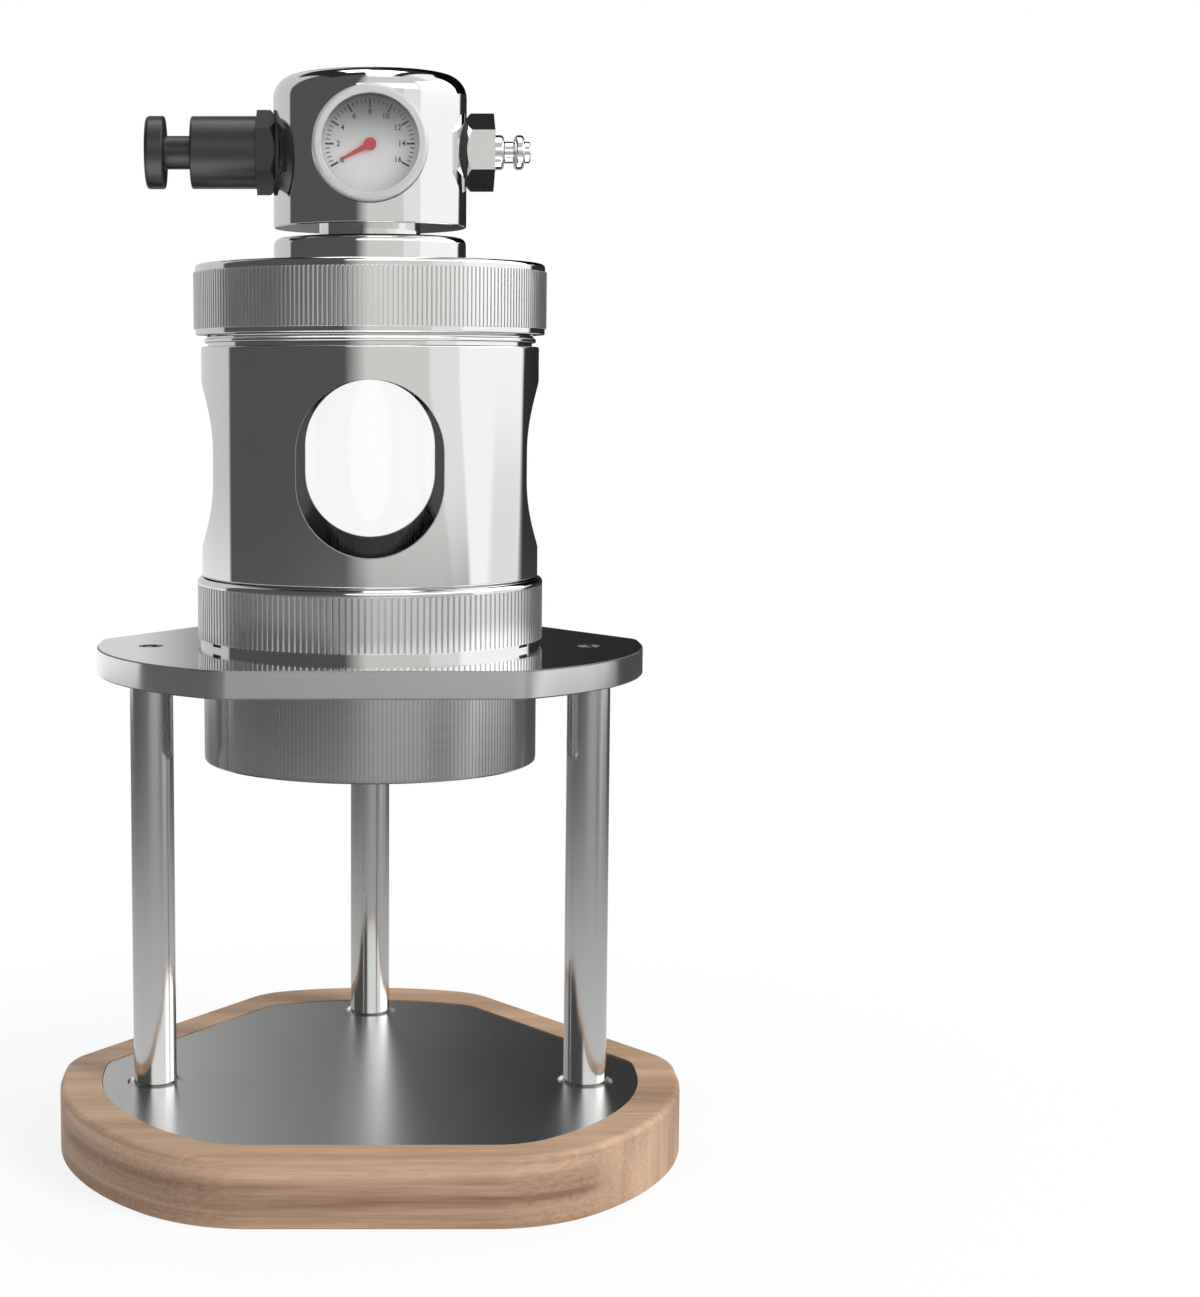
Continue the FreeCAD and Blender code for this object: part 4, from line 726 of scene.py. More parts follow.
def walnut_paint(tree, fibres):
    """Planed walnut with straight grain along X: broad figure, late wood in lines, dark pores."""
    place = add(tree, "TexCoord").outputs["Object"]
    height = add(tree, "SeparateXYZ", (place,)).outputs["Z"]
    normal = add(tree, "NewGeometry").outputs["Normal"]
    facing = add(tree, "SeparateXYZ", (normal,)).outputs

    def streaks(*sets):
        """Late wood: noises stretched along the fibres, each from -depth to depth, in one sum."""
        total = 0.0
        for repeats, depth, phase in sets:
            noise = grain(tree, repeats, phase=phase, distortion=0.2)
            line = add(tree, "MapRange", (noise, 0.3, 0.7, -depth, depth))
            total = add(tree, "Math", (total, line))
        return total

    across = add(tree, "Math", (facing["Y"],), operation="ABSOLUTE")
    left = add(tree, "Math", (facing["X"], -0.45), operation="MULTIPLY")
    left = add(tree, "Math", (left, 0.0), operation="MAXIMUM")
    side = add(tree, "Math", (across, left), operation="ADD")
    front = add(tree, "MapRange", (side, 0.66, 0.82, 0.0, 1.0), interpolation_type="SMOOTHSTEP")
    flat = streaks(((5.0, 42.0, 14.0), 0.27, (0.3, 0.1, 0.0)),
                   ((8.0, 170.0, 24.0), 0.24, (0.0, 0.5, 0.0)))
    edge = streaks(((5.0, 3.0, 105.0), 0.16, (0.0, 0.4, 0.05)),
                   ((7.0, 4.0, 360.0), 0.32, (0.7, 0.4, 0.2)))
    # Faces turned to the front or back get darker towards the bottom.
    lower = add(tree, "MapRange", (height, 8.5 * MM, 11.5 * MM, 0.22, 0.10),
                interpolation_type="SMOOTHSTEP")
    edge = add(tree, "Math", (edge, lower))
    figure = add(tree, "Mix", {0: front, 2: flat, 3: edge})
    # Painted light: the top takes a lighter tone, the upright faces a darker, shaded one.
    upward = add(tree, "Math", (facing["Z"],), operation="ABSOLUTE")
    tone = add(tree, "MapRange", (upward, 0.0, 1.0, 0.50, 0.24))
    tone = add(tree, "Math", (tone, figure))
    threads = add(tree, "MapRange", (fibres, 0.3, 0.7, -0.12, 0.12))
    tone = add(tree, "Math", (tone, threads), use_clamp=True)
    wood = add(tree, "Mix", {0: tone, 6: colour_of("wood_light"), 7: colour_of("wood_dark")},
               data_type="RGBA").outputs[2]
    pores = grain(tree, (240.0, 3600.0, 3600.0), detail=1.0)
    dots = add(tree, "MapRange", (pores, 0.64, 0.76, 0.0, 0.30))
    return add(tree, "Mix", {0: dots, 6: wood, 7: linear("#6E503A")}, data_type="RGBA").outputs[2]


METAL = {"Metallic": 1.0}
# Each finish: the material's name, its paint, the noise's repeats per metre, the roughness at
# both ends of the noise, the noise's detail, further inputs, and relief where there is some.
# Grit, grinding lines and fibres are finer than a pixel, so they are drawn coarser: grit at 0.3
# to 1 mm, lines at 0.1 to 0.4 mm.
RECIPES = {
    # Turned and mirror-polished stainless steel: crisp reflections, a trace of lapping haze.
    "polished": ("polished_stainless_steel", ("steel", 0.96), (90,) * 3, (0.03, 0.06), 3, METAL),
    # Flat stainless plate, ground then polished: a clear but slightly softer mirror.
    "lapped": ("lapped_stainless_plate", "steel", (60, 900, 900), (0.05, 0.09), 4, METAL),
    # Laser-cut edge ground along its length: satin, with fine lines round the plate.
    "edge": ("ground_edge_stainless", "steel", (40, 40, 9000), (0.10, 0.16), 2, METAL),
    # Broken edge: narrow and dull, with painted shade that keeps it greyer than the faces beside
    # it.
    "filed": ("filed_stainless_edge", ("#7C7C7C", "#8A8A8A"), (700, 700, 2000), (0.42, 0.5), 2,
              METAL),
    # Bead-blasted stainless plate: a soft even sheen that stretches bright reflections.
    "satin_plate": ("bead_blasted_stainless_plate", "satin", (25,) * 3, (0.27, 0.31), 3, METAL,
                    (0.003, 0.3, (2500,) * 3)),
    # Centreless-ground rod: satin with faint rings round it.
    "rod": ("centreless_ground_stainless_rod", "satin", (30, 30, 2500), (0.10, 0.16), 2, METAL),
    # Turned stainless with a fine straight knurl: satin, with painted shade darkening the grooves.
    "fine_knurl": ("fine_knurled_stainless", knurl_paint_with_groove_shade, (60, 60, 900), (0.12, 0.18), 3, METAL),
    # Pressed straight knurl of polished stainless: bright crests, soft flanks.
    "knurl": ("pressed_knurl_stainless", "steel", (400, 400, 150), (0.26, 0.33), 2, METAL),
    # Stainless as bored and milled, inside the chamber: dull, with fine cutter marks.
    # Its dark colour is painted shade, inside the chamber and in the spanner slots.
    "milled": ("bored_and_milled_stainless", ("#3C3C3C", "#505050"), (900, 900, 1500),
               (0.30, 0.42), 2, METAL),
    # Black-oxide socket screw: dark and oily, worn brighter in the socket.
    "screw": ("black_oxide_screw_steel", ("#3C3C3E", "#6A6A6C"), (700,) * 3, (0.25, 0.4), 2, METAL),
    # Light walnut, planed and oiled: tan with darker late wood and a low sheen.
    # Its paint also holds painted light: the top lighter, the upright sides darker.
    "walnut": ("oiled_light_walnut", walnut_paint, (60, 1500, 1500), (0.42, 0.58), 3, {},
               (0.02, 0.35)),
    # Turned aluminium, bead-blasted and black anodised: satin, with a faint blue-grey sheen.
    "black": ("black_anodised_aluminium", "black", (1800,) * 3, (0.34, 0.44), 2,
              {"Specular IOR Level": 0.6}, (0.003, 0.25)),
    # Pressed gauge ring, silver lacquer: pale and softly glossy.
    "silver": ("silver_lacquered_gauge_ring", "silver", (3000,) * 3, (0.30, 0.40), 1,
               {"Metallic": 0.2}),
    # Aluminium dial, white lacquer: matt, with painted shade towards the top.
    "dial": ("lacquered_dial", dial_paint, (2500,) * 3, (0.5, 0.6), 1, {}),
    # Screen-printed ink: flat black with a slight mottle.
    "print": ("dial_print", ("print_ink", 0.9), (1500,) * 3, (0.6, 0.6), 1, {}),
    # Baked enamel: a glossier, clear red.
    "needle": ("red_enamel", ("needle", 0.9), (1500,) * 3, (0.35, 0.35), 1, {}),
    # Moulded rubber and silicone: matt, with a slightly uneven skin.
    "rubber": ("nitrile_rubber", "rubber", (900,) * 3, (0.5, 0.65), 2, {}, (0.01, 0.3)),
    "silicone": ("silicone_rubber", "silicone", (900,) * 3, (0.5, 0.65), 2, {}, (0.01, 0.3)),
    # Polished borosilicate tube: colourless. The IOR is low, so that what lies behind both
    # walls stays in its place, and the coat gives back the gloss.
    "glass": ("borosilicate_glass", "#FEFEFE", (40,) * 3, (0.0, 0.004), 2, {
        "IOR": 1.08, "Transmission Weight": 1.0, "Specular IOR Level": 0.5,
        "Coat Weight": 0.6, "Coat IOR": 1.47, "Coat Roughness": 0.02,
    }),
    # Coated gauge glass: clear, with little sheen.
    "lens": ("coated_gauge_lens_glass", "#FEFEFE", (40,) * 3, (0.0, 0.01), 2, {
        "IOR": 1.47, "Transmission Weight": 1.0, "Specular IOR Level": 0.1,
    }),
}
FINISHES = {}


def finish(name):
    """Material by name, made once."""
    if name not in FINISHES:
        FINISHES[name] = noisy(*RECIPES[name])
    return FINISHES[name]


# ---- repeated forms by geometry nodes ---------------------------------------
def node_group(name, inputs):
    """Geometry tree with a geometry input, inputs from a dict of label and kind, and an output."""
    tree = bpy.data.node_groups.new(name, "GeometryNodeTree")
    sockets = [("Geometry", "Geometry", "INPUT")]
    sockets += [(label, kind, "INPUT") for label, kind in inputs.items()]
    for label, kind, side in [*sockets, ("Geometry", "Geometry", "OUTPUT")]:
        tree.interface.new_socket(label, in_out=side, socket_type="NodeSocket" + kind)
    return tree, tree.nodes.new("NodeGroupInput").outputs


def end_repeats(tree, given, repeats):
    """Makes the repeats real, gives them their finish and joins them to the piece."""
    real = add(tree, "GeometryNodeRealizeInstances", (repeats,))
    coloured = add(tree, "GeometryNodeSetMaterial", {"Geometry": real, "Material": given["Finish"]})
    joined = add(tree, "GeometryNodeJoinGeometry", (given["Geometry"],))
    tree.links.new(coloured.outputs[0], joined.inputs[0])
    add(tree, "NodeGroupOutput", (joined,))
    return tree


def run_nodes(piece, tree, values):
    """Adds the tree to the piece, sets its inputs by identifier, and makes the result plain."""
    modifier = piece.modifiers.new("nodes", "NODES")
    modifier.node_group = tree
    known = {item.name: item.identifier for item in tree.interface.items_tree
             if item.item_type == "SOCKET" and item.in_out == "INPUT"}
    for label, value in values.items():
        modifier[known[label]] = value
    flatten(piece)


def rib_tree():
    """Upright bars round the Z axis, joined to the piece that carries them."""
    tree, given = node_group("ribs_round_a_band", {
        "Count": "Int", "Radius": "Float", "Width": "Float", "Thickness": "Float",
        "Height": "Float", "Middle": "Float", "Finish": "Material",
    })
    circle = add(tree, "GeometryNodeMeshCircle", {
        "Vertices": given["Count"], "Radius": given["Radius"],
    })
    size = add(tree, "CombineXYZ", (given["Thickness"], given["Width"], given["Height"]))
    rib = add(tree, "GeometryNodeMeshCube", {"Size": size})
    place = add(tree, "GeometryNodeInputPosition")
    outward = add(tree, "FunctionNodeAlignRotationToVector", {"Vector": place},
                  axis="X", pivot_axis="Z")
    ribs = add(tree, "GeometryNodeInstanceOnPoints", {
        "Points": circle, "Instance": rib, "Rotation": outward,
    })
    lift = add(tree, "CombineXYZ", {"Z": given["Middle"]})
    raised = add(tree, "GeometryNodeTransform", {"Geometry": ribs, "Translation": lift})
    return end_repeats(tree, given, raised)


def tick_tree():
    """Ticks round a dial that faces -Y."""
    tree, given = node_group("dial_ticks", {
        "Count": "Int", "Start": "Float", "Step": "Float", "Inner Radius": "Float",
        "Length": "Float", "Width": "Float", "Thickness": "Float", "Finish": "Material",
    })
    size = add(tree, "CombineXYZ", (given["Length"], given["Thickness"], given["Width"]))
    tick = add(tree, "GeometryNodeMeshCube", {"Size": size})
    half = add(tree, "Math", (given["Length"], 0.5), operation="MULTIPLY")
    reach = add(tree, "Math", (given["Inner Radius"], half))
    out = add(tree, "CombineXYZ", {"X": reach})
    placed = add(tree, "GeometryNodeTransform", {"Geometry": tick, "Translation": out})
    points = add(tree, "GeometryNodePoints", {"Count": given["Count"]})
    index = add(tree, "GeometryNodeInputIndex")
    turn = add(tree, "Math", (index, given["Step"], given["Start"]), operation="MULTIPLY_ADD")
    rotation = add(tree, "CombineXYZ", {"Y": turn})
    ticks = add(tree, "GeometryNodeInstanceOnPoints", {
        "Points": points, "Instance": placed, "Rotation": rotation,
    })
    return end_repeats(tree, given, ticks)


def knurl(piece, count, root, height, band, look):
    """Straight knurl over a band of low and high: flat-topped ribs, sunk a little in the piece."""
    low, high = band
    tree = bpy.data.node_groups.get("ribs_round_a_band") or rib_tree()
    run_nodes(piece, tree, {
        "Count": count,
        "Radius": (root + (height - RIB_SUNK) / 2) * MM,
        "Width": RIB_SHARE * TURN * root / count * MM,
        "Thickness": (height + RIB_SUNK) * MM,
        "Height": (high - low) * MM,
        "Middle": (low + high) / 2 * MM,
        "Finish": finish(look),
    })


# ---- needle, marks and stage ------------------------------------------------
def make_needle():
    """Tapered needle with a round hub, along the line of the CAD needle."""
    low, high = span("gauge_needle")
    axis = Vector((0, 0, PORT_Z)) * MM
    places = [vertex.co - axis for vertex in NODES["gauge_needle"].data.vertices]
    tip = max(places, key=lambda place: math.hypot(place.x, place.z))
    heading = math.atan2(tip.z, tip.x)
    outline = [(NEEDLE_REACH, NEEDLE_TIP), (NEEDLE_REACH, -NEEDLE_TIP)]
    start = math.asin(NEEDLE_ROOT / NEEDLE_HUB)
    for step in range(HUB_STEPS + 1):
        angle = -start - (TURN - 2 * start) * step / HUB_STEPS
        outline.append((NEEDLE_HUB * math.cos(angle), NEEDLE_HUB * math.sin(angle)))
    across, up = math.cos(heading), math.sin(heading)
    outline = [(along * across - side * up, PORT_Z + (along * up + side * across))
               for along, side in outline]
    prism("needle", outline, low.y, high.y, "Y", "needle", "gauge_needle")


def make_marks():
    """Ticks by nodes and numbers from the built-in type, on the face of the dial."""
    tree = bpy.data.node_groups.get("dial_ticks") or tick_tree()
    face = DIAL_FACE - PRINT_DEPTH / 2
    for name, count, inner, length, width in (
            ("major_ticks", DIAL_STEPS, 8.2, 1.9, 0.42),
            ("minor_ticks", DIAL_STEPS * MINOR_PER_STEP, 9.1, 0.95, 0.20)):
        ticks = linked(name, bpy.data.meshes.new(name))
        run_nodes(ticks, tree, {
            "Count": count + 1,
            "Start": -math.radians(DIAL_ZERO),
            "Step": math.radians(DIAL_SWEEP / count),
            "Inner Radius": inner * MM,
            "Length": length * MM,
            "Width": width * MM,
            "Thickness": PRINT_DEPTH * MM,
            "Finish": finish("print"),
        })
        ticks.data.transform(Matrix.Translation(Vector((0, face, PORT_Z)) * MM))
        trim(ticks, "gauge_dial")
    numbers = bmesh.new()
    for step in range(DIAL_STEPS + 1):
        angle = math.radians(DIAL_ZERO - step * DIAL_SWEEP / DIAL_STEPS)
        curve = bpy.data.curves.new("number", "FONT")
        curve.body = str(step * DIAL_NUMBER_STEP)
        curve.size = NUMBER_HEIGHT * MM
        curve.extrude = PRINT_DEPTH / 2 * MM
        curve.offset = NUMBER_BOLD * MM
        curve.align_x, curve.align_y = "CENTER", "CENTER"
        text = linked("number", curve)
        bpy.context.view_layer.update()
        flat = bpy.data.meshes.new_from_object(text)
        place = Vector((NUMBER_REACH * math.cos(angle), face,
                        PORT_Z + NUMBER_REACH * math.sin(angle))) * MM
        flat.transform(Matrix.Translation(place) @ Matrix.Rotation(math.pi / 2, 4, "X"))
        numbers.from_mesh(flat)
        bpy.data.objects.remove(text)
    trim(closed_piece("dial_numbers", numbers, "print"), "gauge_dial")


def rays(tree):
    """Share of camera rays, also through glass, and share of mirrored rays."""
    ray = add(tree, "LightPath").outputs
    seen = add(tree, "Math", (ray["Is Camera Ray"], ray["Is Transmission Ray"]),
               operation="MAXIMUM")
    return seen, ray["Is Glossy Ray"]


def make_floor():
    """Pale floor that shows white, keeps the shadow and lets reflections of the room past."""
    builder = bmesh.new()
    corners = ((-1, -1), (1, -1), (1, 1), (-1, 1))
    builder.faces.new([builder.verts.new((x * FLOOR_HALF, y * FLOOR_HALF, FLOOR_DROP))
                       for x, y in corners])
    ground = closed_piece("floor", builder)
    if ground.data.polygons[0].normal.z < 0:
        ground.data.flip_normals()
    material = bpy.data.materials.new("painted_studio_floor")
    tree = empty_tree(material)
    matt = add(tree, "BsdfDiffuse", {"Color": linear("#F2F2F2")})
    glow = add(tree, "Emission", {"Color": linear("#FFFFFF"), "Strength": 1.0})
    place = add(tree, "TexCoord").outputs["Object"]
    away = add(tree, "VectorMath", (place,), operation="LENGTH").outputs["Value"]
    share = add(tree, "MapRange", (away, SHADOW_NEAR, SHADOW_FAR, SHADOW_WHITE, 1.0),
                interpolation_type="SMOOTHSTEP")
    pale = add(tree, "MixShader", (share, matt, glow))
    seen, mirrored = rays(tree)
    plain = add(tree, "MixShader", (seen, matt, pale))
    clear = add(tree, "BsdfTransparent")
    whole = add(tree, "MixShader", (mirrored, plain, clear))
    add(tree, "OutputMaterial", {"Surface": whole})
    ground.data.materials.append(material)


def make_world(studio):
    """White backdrop, even fill, and a room of screens that shows only in polished metal."""
    room = bpy.data.worlds.new("studio")
    bpy.context.scene.world = room
    tree = empty_tree(room)
    white = linear("#FFFFFF")
    seen, mirrored = rays(tree)
    mirror = add(tree, "Background", {"Color": room_tones(tree), "Strength": MIRROR_STRENGTH})
    even = add(tree, "Background", {"Color": white, "Strength": studio.fill})
    back = add(tree, "Background", {"Color": white, "Strength": 1.0})
    lit = add(tree, "MixShader", (mirrored, even, mirror))
    whole = add(tree, "MixShader", (seen, lit, back))
    add(tree, "OutputWorld", {"Surface": whole})


def room_tones(tree):
    """Tones of the room by direction: its rows, and the layers over them."""
    way = add(tree, "TexCoord").outputs["Generated"]
    way = add(tree, "SeparateXYZ", (way,)).outputs
    behind = add(tree, "Math", (way["Y"], -1.0), operation="MULTIPLY")
    turn = add(tree, "Math", (way["X"], behind), operation="ARCTAN2")
    turn = add(tree, "Math", (turn,), operation="DEGREES")
    rise = add(tree, "Math", (way["Z"],), operation="ARCSINE")
    rise = add(tree, "Math", (rise,), operation="DEGREES")
    below = add(tree, "Math", (rise, 0.0), operation="MINIMUM")
    measures = {"x": way["X"], "y": way["Y"], "z": way["Z"], "turn": turn, "rise": rise}
    for name, value, slope in (("slanted", rise, -1.3), ("steep", below, 3.7),
                               ("shallow", below, 2.0)):
        measures[name] = add(tree, "Math", (value, slope, turn), operation="MULTIPLY_ADD")
    share = add(tree, "MapRange", (turn, -180.0, 180.0, 0.0, 1.0))
    height = add(tree, "MapRange", (rise, GROUND_END, 0.0, 0.0, 1.0))
    tones = {"ground": add(tree, "ValToRGB", (height,), stops=GROUND)}
    for name, row in ROWS.items():
        stops = [((angle + 180) / 360, tone) for angle, tone in row]
        tones[name] = add(tree, "ValToRGB", (share,), stops=stops)

    def layered(base, layers):
        """Lays each tone over the base where its measures are all inside their limits."""
        for tone, limits in layers:
            mask = 1.0
            for measure, (low, high, soft) in limits.items():
                for end, ends in ((low, (0.0, 1.0)), (high, (1.0, 0.0))):
                    step = add(tree, "MapRange",
                               (measures[measure], end - soft, end + soft, *ends),
                               interpolation_type="SMOOTHSTEP")
                    mask = add(tree, "Math", (mask, step), operation="MULTIPLY")
            if isinstance(tone, float):
                top = (tone, tone, tone, 1.0)
            else:
                top = tones[tone] if tone in tones else linear(tone)
            base = add(tree, "Mix", {0: mask, 6: base, 7: top}, data_type="RGBA").outputs[2]
        return base

    tones["low"] = layered(tones["low"], LOW_LAYERS)
    return layered(tones["room"], LAYERS)


def make_lamp(studio):
    """Soft square lamp that faces the object and stays out of its reflections."""
    light = bpy.data.lights.new("key_lamp", "AREA")
    light.size = LAMP_SIZE
    light.energy = studio.key
    made = linked("key_lamp", light)
    made.location = LAMP_PLACE
    aim = Vector(LAMP_TARGET) - Vector(LAMP_PLACE)
    made.rotation_euler = aim.to_track_quat("-Z", "Y").to_euler()
    made.visible_glossy = False


def make_camera(studio):
    """Camera in front, slightly above the middle, tilted down a little."""
    lens = bpy.data.cameras.new("camera")
    lens.sensor_width = 36.0
    lens.lens = FOCAL_LENGTH / PICTURE_HEIGHT * lens.sensor_width
    lens.shift_x = (PICTURE_WIDTH / 2 - AXIS_PIXEL[0]) / PICTURE_HEIGHT
    lens.shift_y = (AXIS_PIXEL[1] - PICTURE_HEIGHT / 2) / PICTURE_HEIGHT
    lens.clip_start = 0.01
    lens.clip_end = 20
    lens.dof.use_dof = False
    made = linked("camera", lens)
    made.location = (0, -studio.distance, studio.height)
    made.rotation_euler = (math.pi / 2 - studio.pitch, 0, 0)
    bpy.context.scene.camera = made


# ---- operators --------------------------------------------------------------
class ESPRESSO_OT_wooden_base(bpy.types.Operator):
    """Rounded wooden base"""

    bl_idname = "espresso.wooden_base"
    bl_label = "Wooden base"

    def execute(self, context):
        refined("base_board", "wood_base", "walnut", soften_corners)
        return {"FINISHED"}


class ESPRESSO_OT_plates(bpy.types.Operator):
    """Base plate, top plate and their screws"""

    bl_idname = "espresso.plates"
    bl_label = "Steel plates"

    def execute(self, context):
        def rim(centre, normal):
            """0 for flat faces and bores, 1 for the upright edge, 2 for its breaks with painted
            shade.
            """
            upward, outside = abs(normal.z), math.hypot(centre.x, centre.y) > PLATE_BORE
            if not outside or not PLATE_BOTTOM < centre.z < PLATE_TOP or upward >= FLAT:
                return 0
            return 1 if upward < UPRIGHT else 2

        refined("inlaid_base_plate", "base_plate", "satin_plate", soften_corners)
        # The deck's edge breaks take a darker grey: painted shade.
        repaint(refined("deck_plate", "top_plate", "lapped"), ("edge", "filed"), rim)
        refined("deck_screws", "leg_top_screws", "screw")
        refined("base_screws", "leg_bottom_screws", "screw")
        return {"FINISHED"}


class ESPRESSO_OT_legs(bpy.types.Operator):
    """Three round legs"""

    bl_idname = "espresso.legs"
    bl_label = "Legs"

    def execute(self, context):
        for node in ("left_leg", "right_leg", "back_leg"):
            low, high = span(node)
            tube(node + "_rod", "rod", node, 0, LEG_RADIUS, (FINE_EDGE, FINE_EDGE),
                 centre=((low.x + high.x) / 2, (low.y + high.y) / 2, 0), steps=SMALL_STEPS)
        return {"FINISHED"}


class ESPRESSO_OT_group(bpy.types.Operator):
    """Lower knurled ring with its neck, shower screen and gasket"""

    bl_idname = "espresso.group"
    bl_label = "Brewing group"

    def execute(self, context):
        knurls = context.scene.espresso_knurls
        height = knurls.rib_height / MM
        root = RING_CREST - height
        ring = turned("lower_knurled_ring", [
            (NECK_BORE, NECK_END),
            *thread_rings(NECK_END, PLATE_BOTTOM - NECK_PLAIN, NECK_RADIUS, NECK_PITCH),
            (NECK_RADIUS, PLATE_BOTTOM), (NECK_RADIUS, PLATE_TOP),
            (RING_BAND, PLATE_TOP), (RING_BAND, RING_BAND_TOP, FINE_EDGE),
            (root, RING_BAND_TOP), (root, RING_SHOULDER),
            (RING_CREST, RING_SHOULDER, 0.15), (RING_CREST, RING_TOP, 1.1),
            (RING_SOCKET, RING_TOP), (RING_SOCKET, GROUP_FLOOR),
            (GROUP_PORT, GROUP_FLOOR), (GROUP_PORT, SCREEN_SEAT),
            (SCREEN_BORE, SCREEN_SEAT), (SCREEN_BORE, GASKET_BACK), (NECK_BORE, GASKET_BACK),
        ], "polished")
        half, top = SPANNER_SLOT / 2, RING_BAND_TOP + FIT
        floor = top - SPANNER_DEPTH
        outline = [(-half, top), (-half, floor), (half, floor), (half, top)]
        slots = []
        for angle in SPANNER_ANGLES:
            slots.append(prism("spanner_slot", outline, RING_BAND - SPANNER_DEPTH,
                               RING_CREST + TOOL_END, "X"))
            slots[-1].data.transform(Matrix.Rotation(math.radians(angle), 4, "Z"))
        cut(ring, *slots)

        def slot_walls(centre, normal):
            """1 for the walls of the slots, which don't face along a radius; 0 for the rest."""
            reach = math.hypot(centre.x, centre.y)
            radial = abs(centre.x * normal.y - centre.y * normal.x) < ALONG_RADIUS * reach
            in_slot = not radial or RING_SOCKET < reach < RING_BAND - SLOT_SKIN
            return int(in_slot and floor - HAIR < centre.z < top)

        # The slot walls take the dark colour: painted shade in the spanner slots.
        repaint(ring, ("milled",), slot_walls)
        knurl(ring, knurls.ring_ribs, root, height, (RING_BAND_TOP, RING_SHOULDER), "knurl")
        settle(ring, "group_ring")
        dress("shower_screen", "rod")
        dress("group_gasket", "silicone")
        return {"FINISHED"}


class ESPRESSO_OT_portafilter(bpy.types.Operator):
    """Portafilter cup with its fine knurl, and the filter basket"""

    bl_idname = "espresso.portafilter"
    bl_label = "Portafilter"

    def execute(self, context):
        cup = refined("portafilter_cup_shell", "portafilter_cup", "fine_knurl")
        ribs = context.scene.espresso_knurls.cup_ribs
        knurl(cup, ribs, CUP_RADIUS, CUP_RIB, CUP_KNURL, "fine_knurl")
        refined("basket", "filter_basket", "rod")
        return {"FINISHED"}


class ESPRESSO_OT_chamber(bpy.types.Operator):
    """Windowed steel body, glass and its seals"""

    bl_idname = "espresso.chamber"
    bl_label = "Water chamber"

    def execute(self, context):
        body = turned("windowed_body", [
            (BODY_BORE, BODY_LOW), (SPIGOT_RADIUS, BODY_LOW), (SPIGOT_RADIUS, BODY_SHOULDER),
            (BODY_RADIUS, BODY_SHOULDER, 0.4), (BODY_RADIUS, BODY_EDGE, 0.4),
            (GROOVE_RADIUS, BODY_EDGE), (GROOVE_RADIUS, GROOVE_TOP),
            (BEAD_RADIUS, GROOVE_TOP, 0.3), (BEAD_RADIUS, BEAD_TOP, 0.3),
            *thread_rings(BEAD_TOP, BODY_HIGH, THREAD_RADIUS, BODY_PITCH),
            (THREAD_RADIUS - THREAD_DEPTH, BODY_HIGH), (BODY_BORE, BODY_HIGH),
        ], "polished")
        radius = WINDOW_WIDTH / 2
        outline = []
        for step in range(WINDOW_STEPS):
            angle = TURN * (step + 0.5) / WINDOW_STEPS
            middle = WINDOW_HIGH - radius if math.sin(angle) > 0 else WINDOW_LOW + radius
            outline.append((radius * math.cos(angle), middle + radius * math.sin(angle)))
        cut(body, *(prism("window", outline, -WINDOW_TOOL, WINDOW_TOOL, axis) for axis in "XY"))

        def inside(centre, normal):
            """1 for the bore and the window walls, 0 outside."""
            inner = math.hypot(centre.x, centre.y) < BODY_RADIUS - WALL_SKIN
            return int(inner and BODY_SHOULDER < centre.z < BODY_EDGE)

        # The bore and the window walls take the dark colour: painted shade inside the chamber.
        repaint(body, ("milled",), inside)
        settle(body, "chamber_body")
        low, high = span("glass_liner")
        turned("glass_tube", [
            (GLASS_BORE, low.z, GLASS_EDGE), (GLASS_RADIUS, low.z, GLASS_EDGE),
            (GLASS_RADIUS, high.z, GLASS_EDGE), (GLASS_BORE, high.z, GLASS_EDGE),
        ], "glass", "glass_liner", steps=SMALL_STEPS)
        dress("lower_glass_seal", "silicone")
        dress("upper_glass_seal", "silicone")
        return {"FINISHED"}


class ESPRESSO_OT_cap(bpy.types.Operator):
    """Knurled cap nut"""

    bl_idname = "espresso.cap"
    bl_label = "Cap nut"

    def execute(self, context):
        knurls = context.scene.espresso_knurls
        low, high = CAP_KNURL
        cap = turned("knurled_cap", [
            (CAP_THREAD, CAP_LOW), (CAP_RADIUS, CAP_LOW, EDGE),
            (CAP_RADIUS, low, FINE_EDGE), (CAP_ROOT, low),
            (CAP_ROOT, high), (CAP_RADIUS, high, FINE_EDGE),
            (CAP_RADIUS, CAP_HIGH, 0.9), (CAP_BORE, CAP_HIGH, EDGE),
            (CAP_BORE, CAP_INNER), (CAP_THREAD, CAP_INNER),
        ], "polished")
        height = knurls.rib_height / MM + CAP_EXTRA
        knurl(cap, knurls.cap_ribs, CAP_ROOT, height, CAP_KNURL, "knurl")
        settle(cap, "cap_nut")
        return {"FINISHED"}


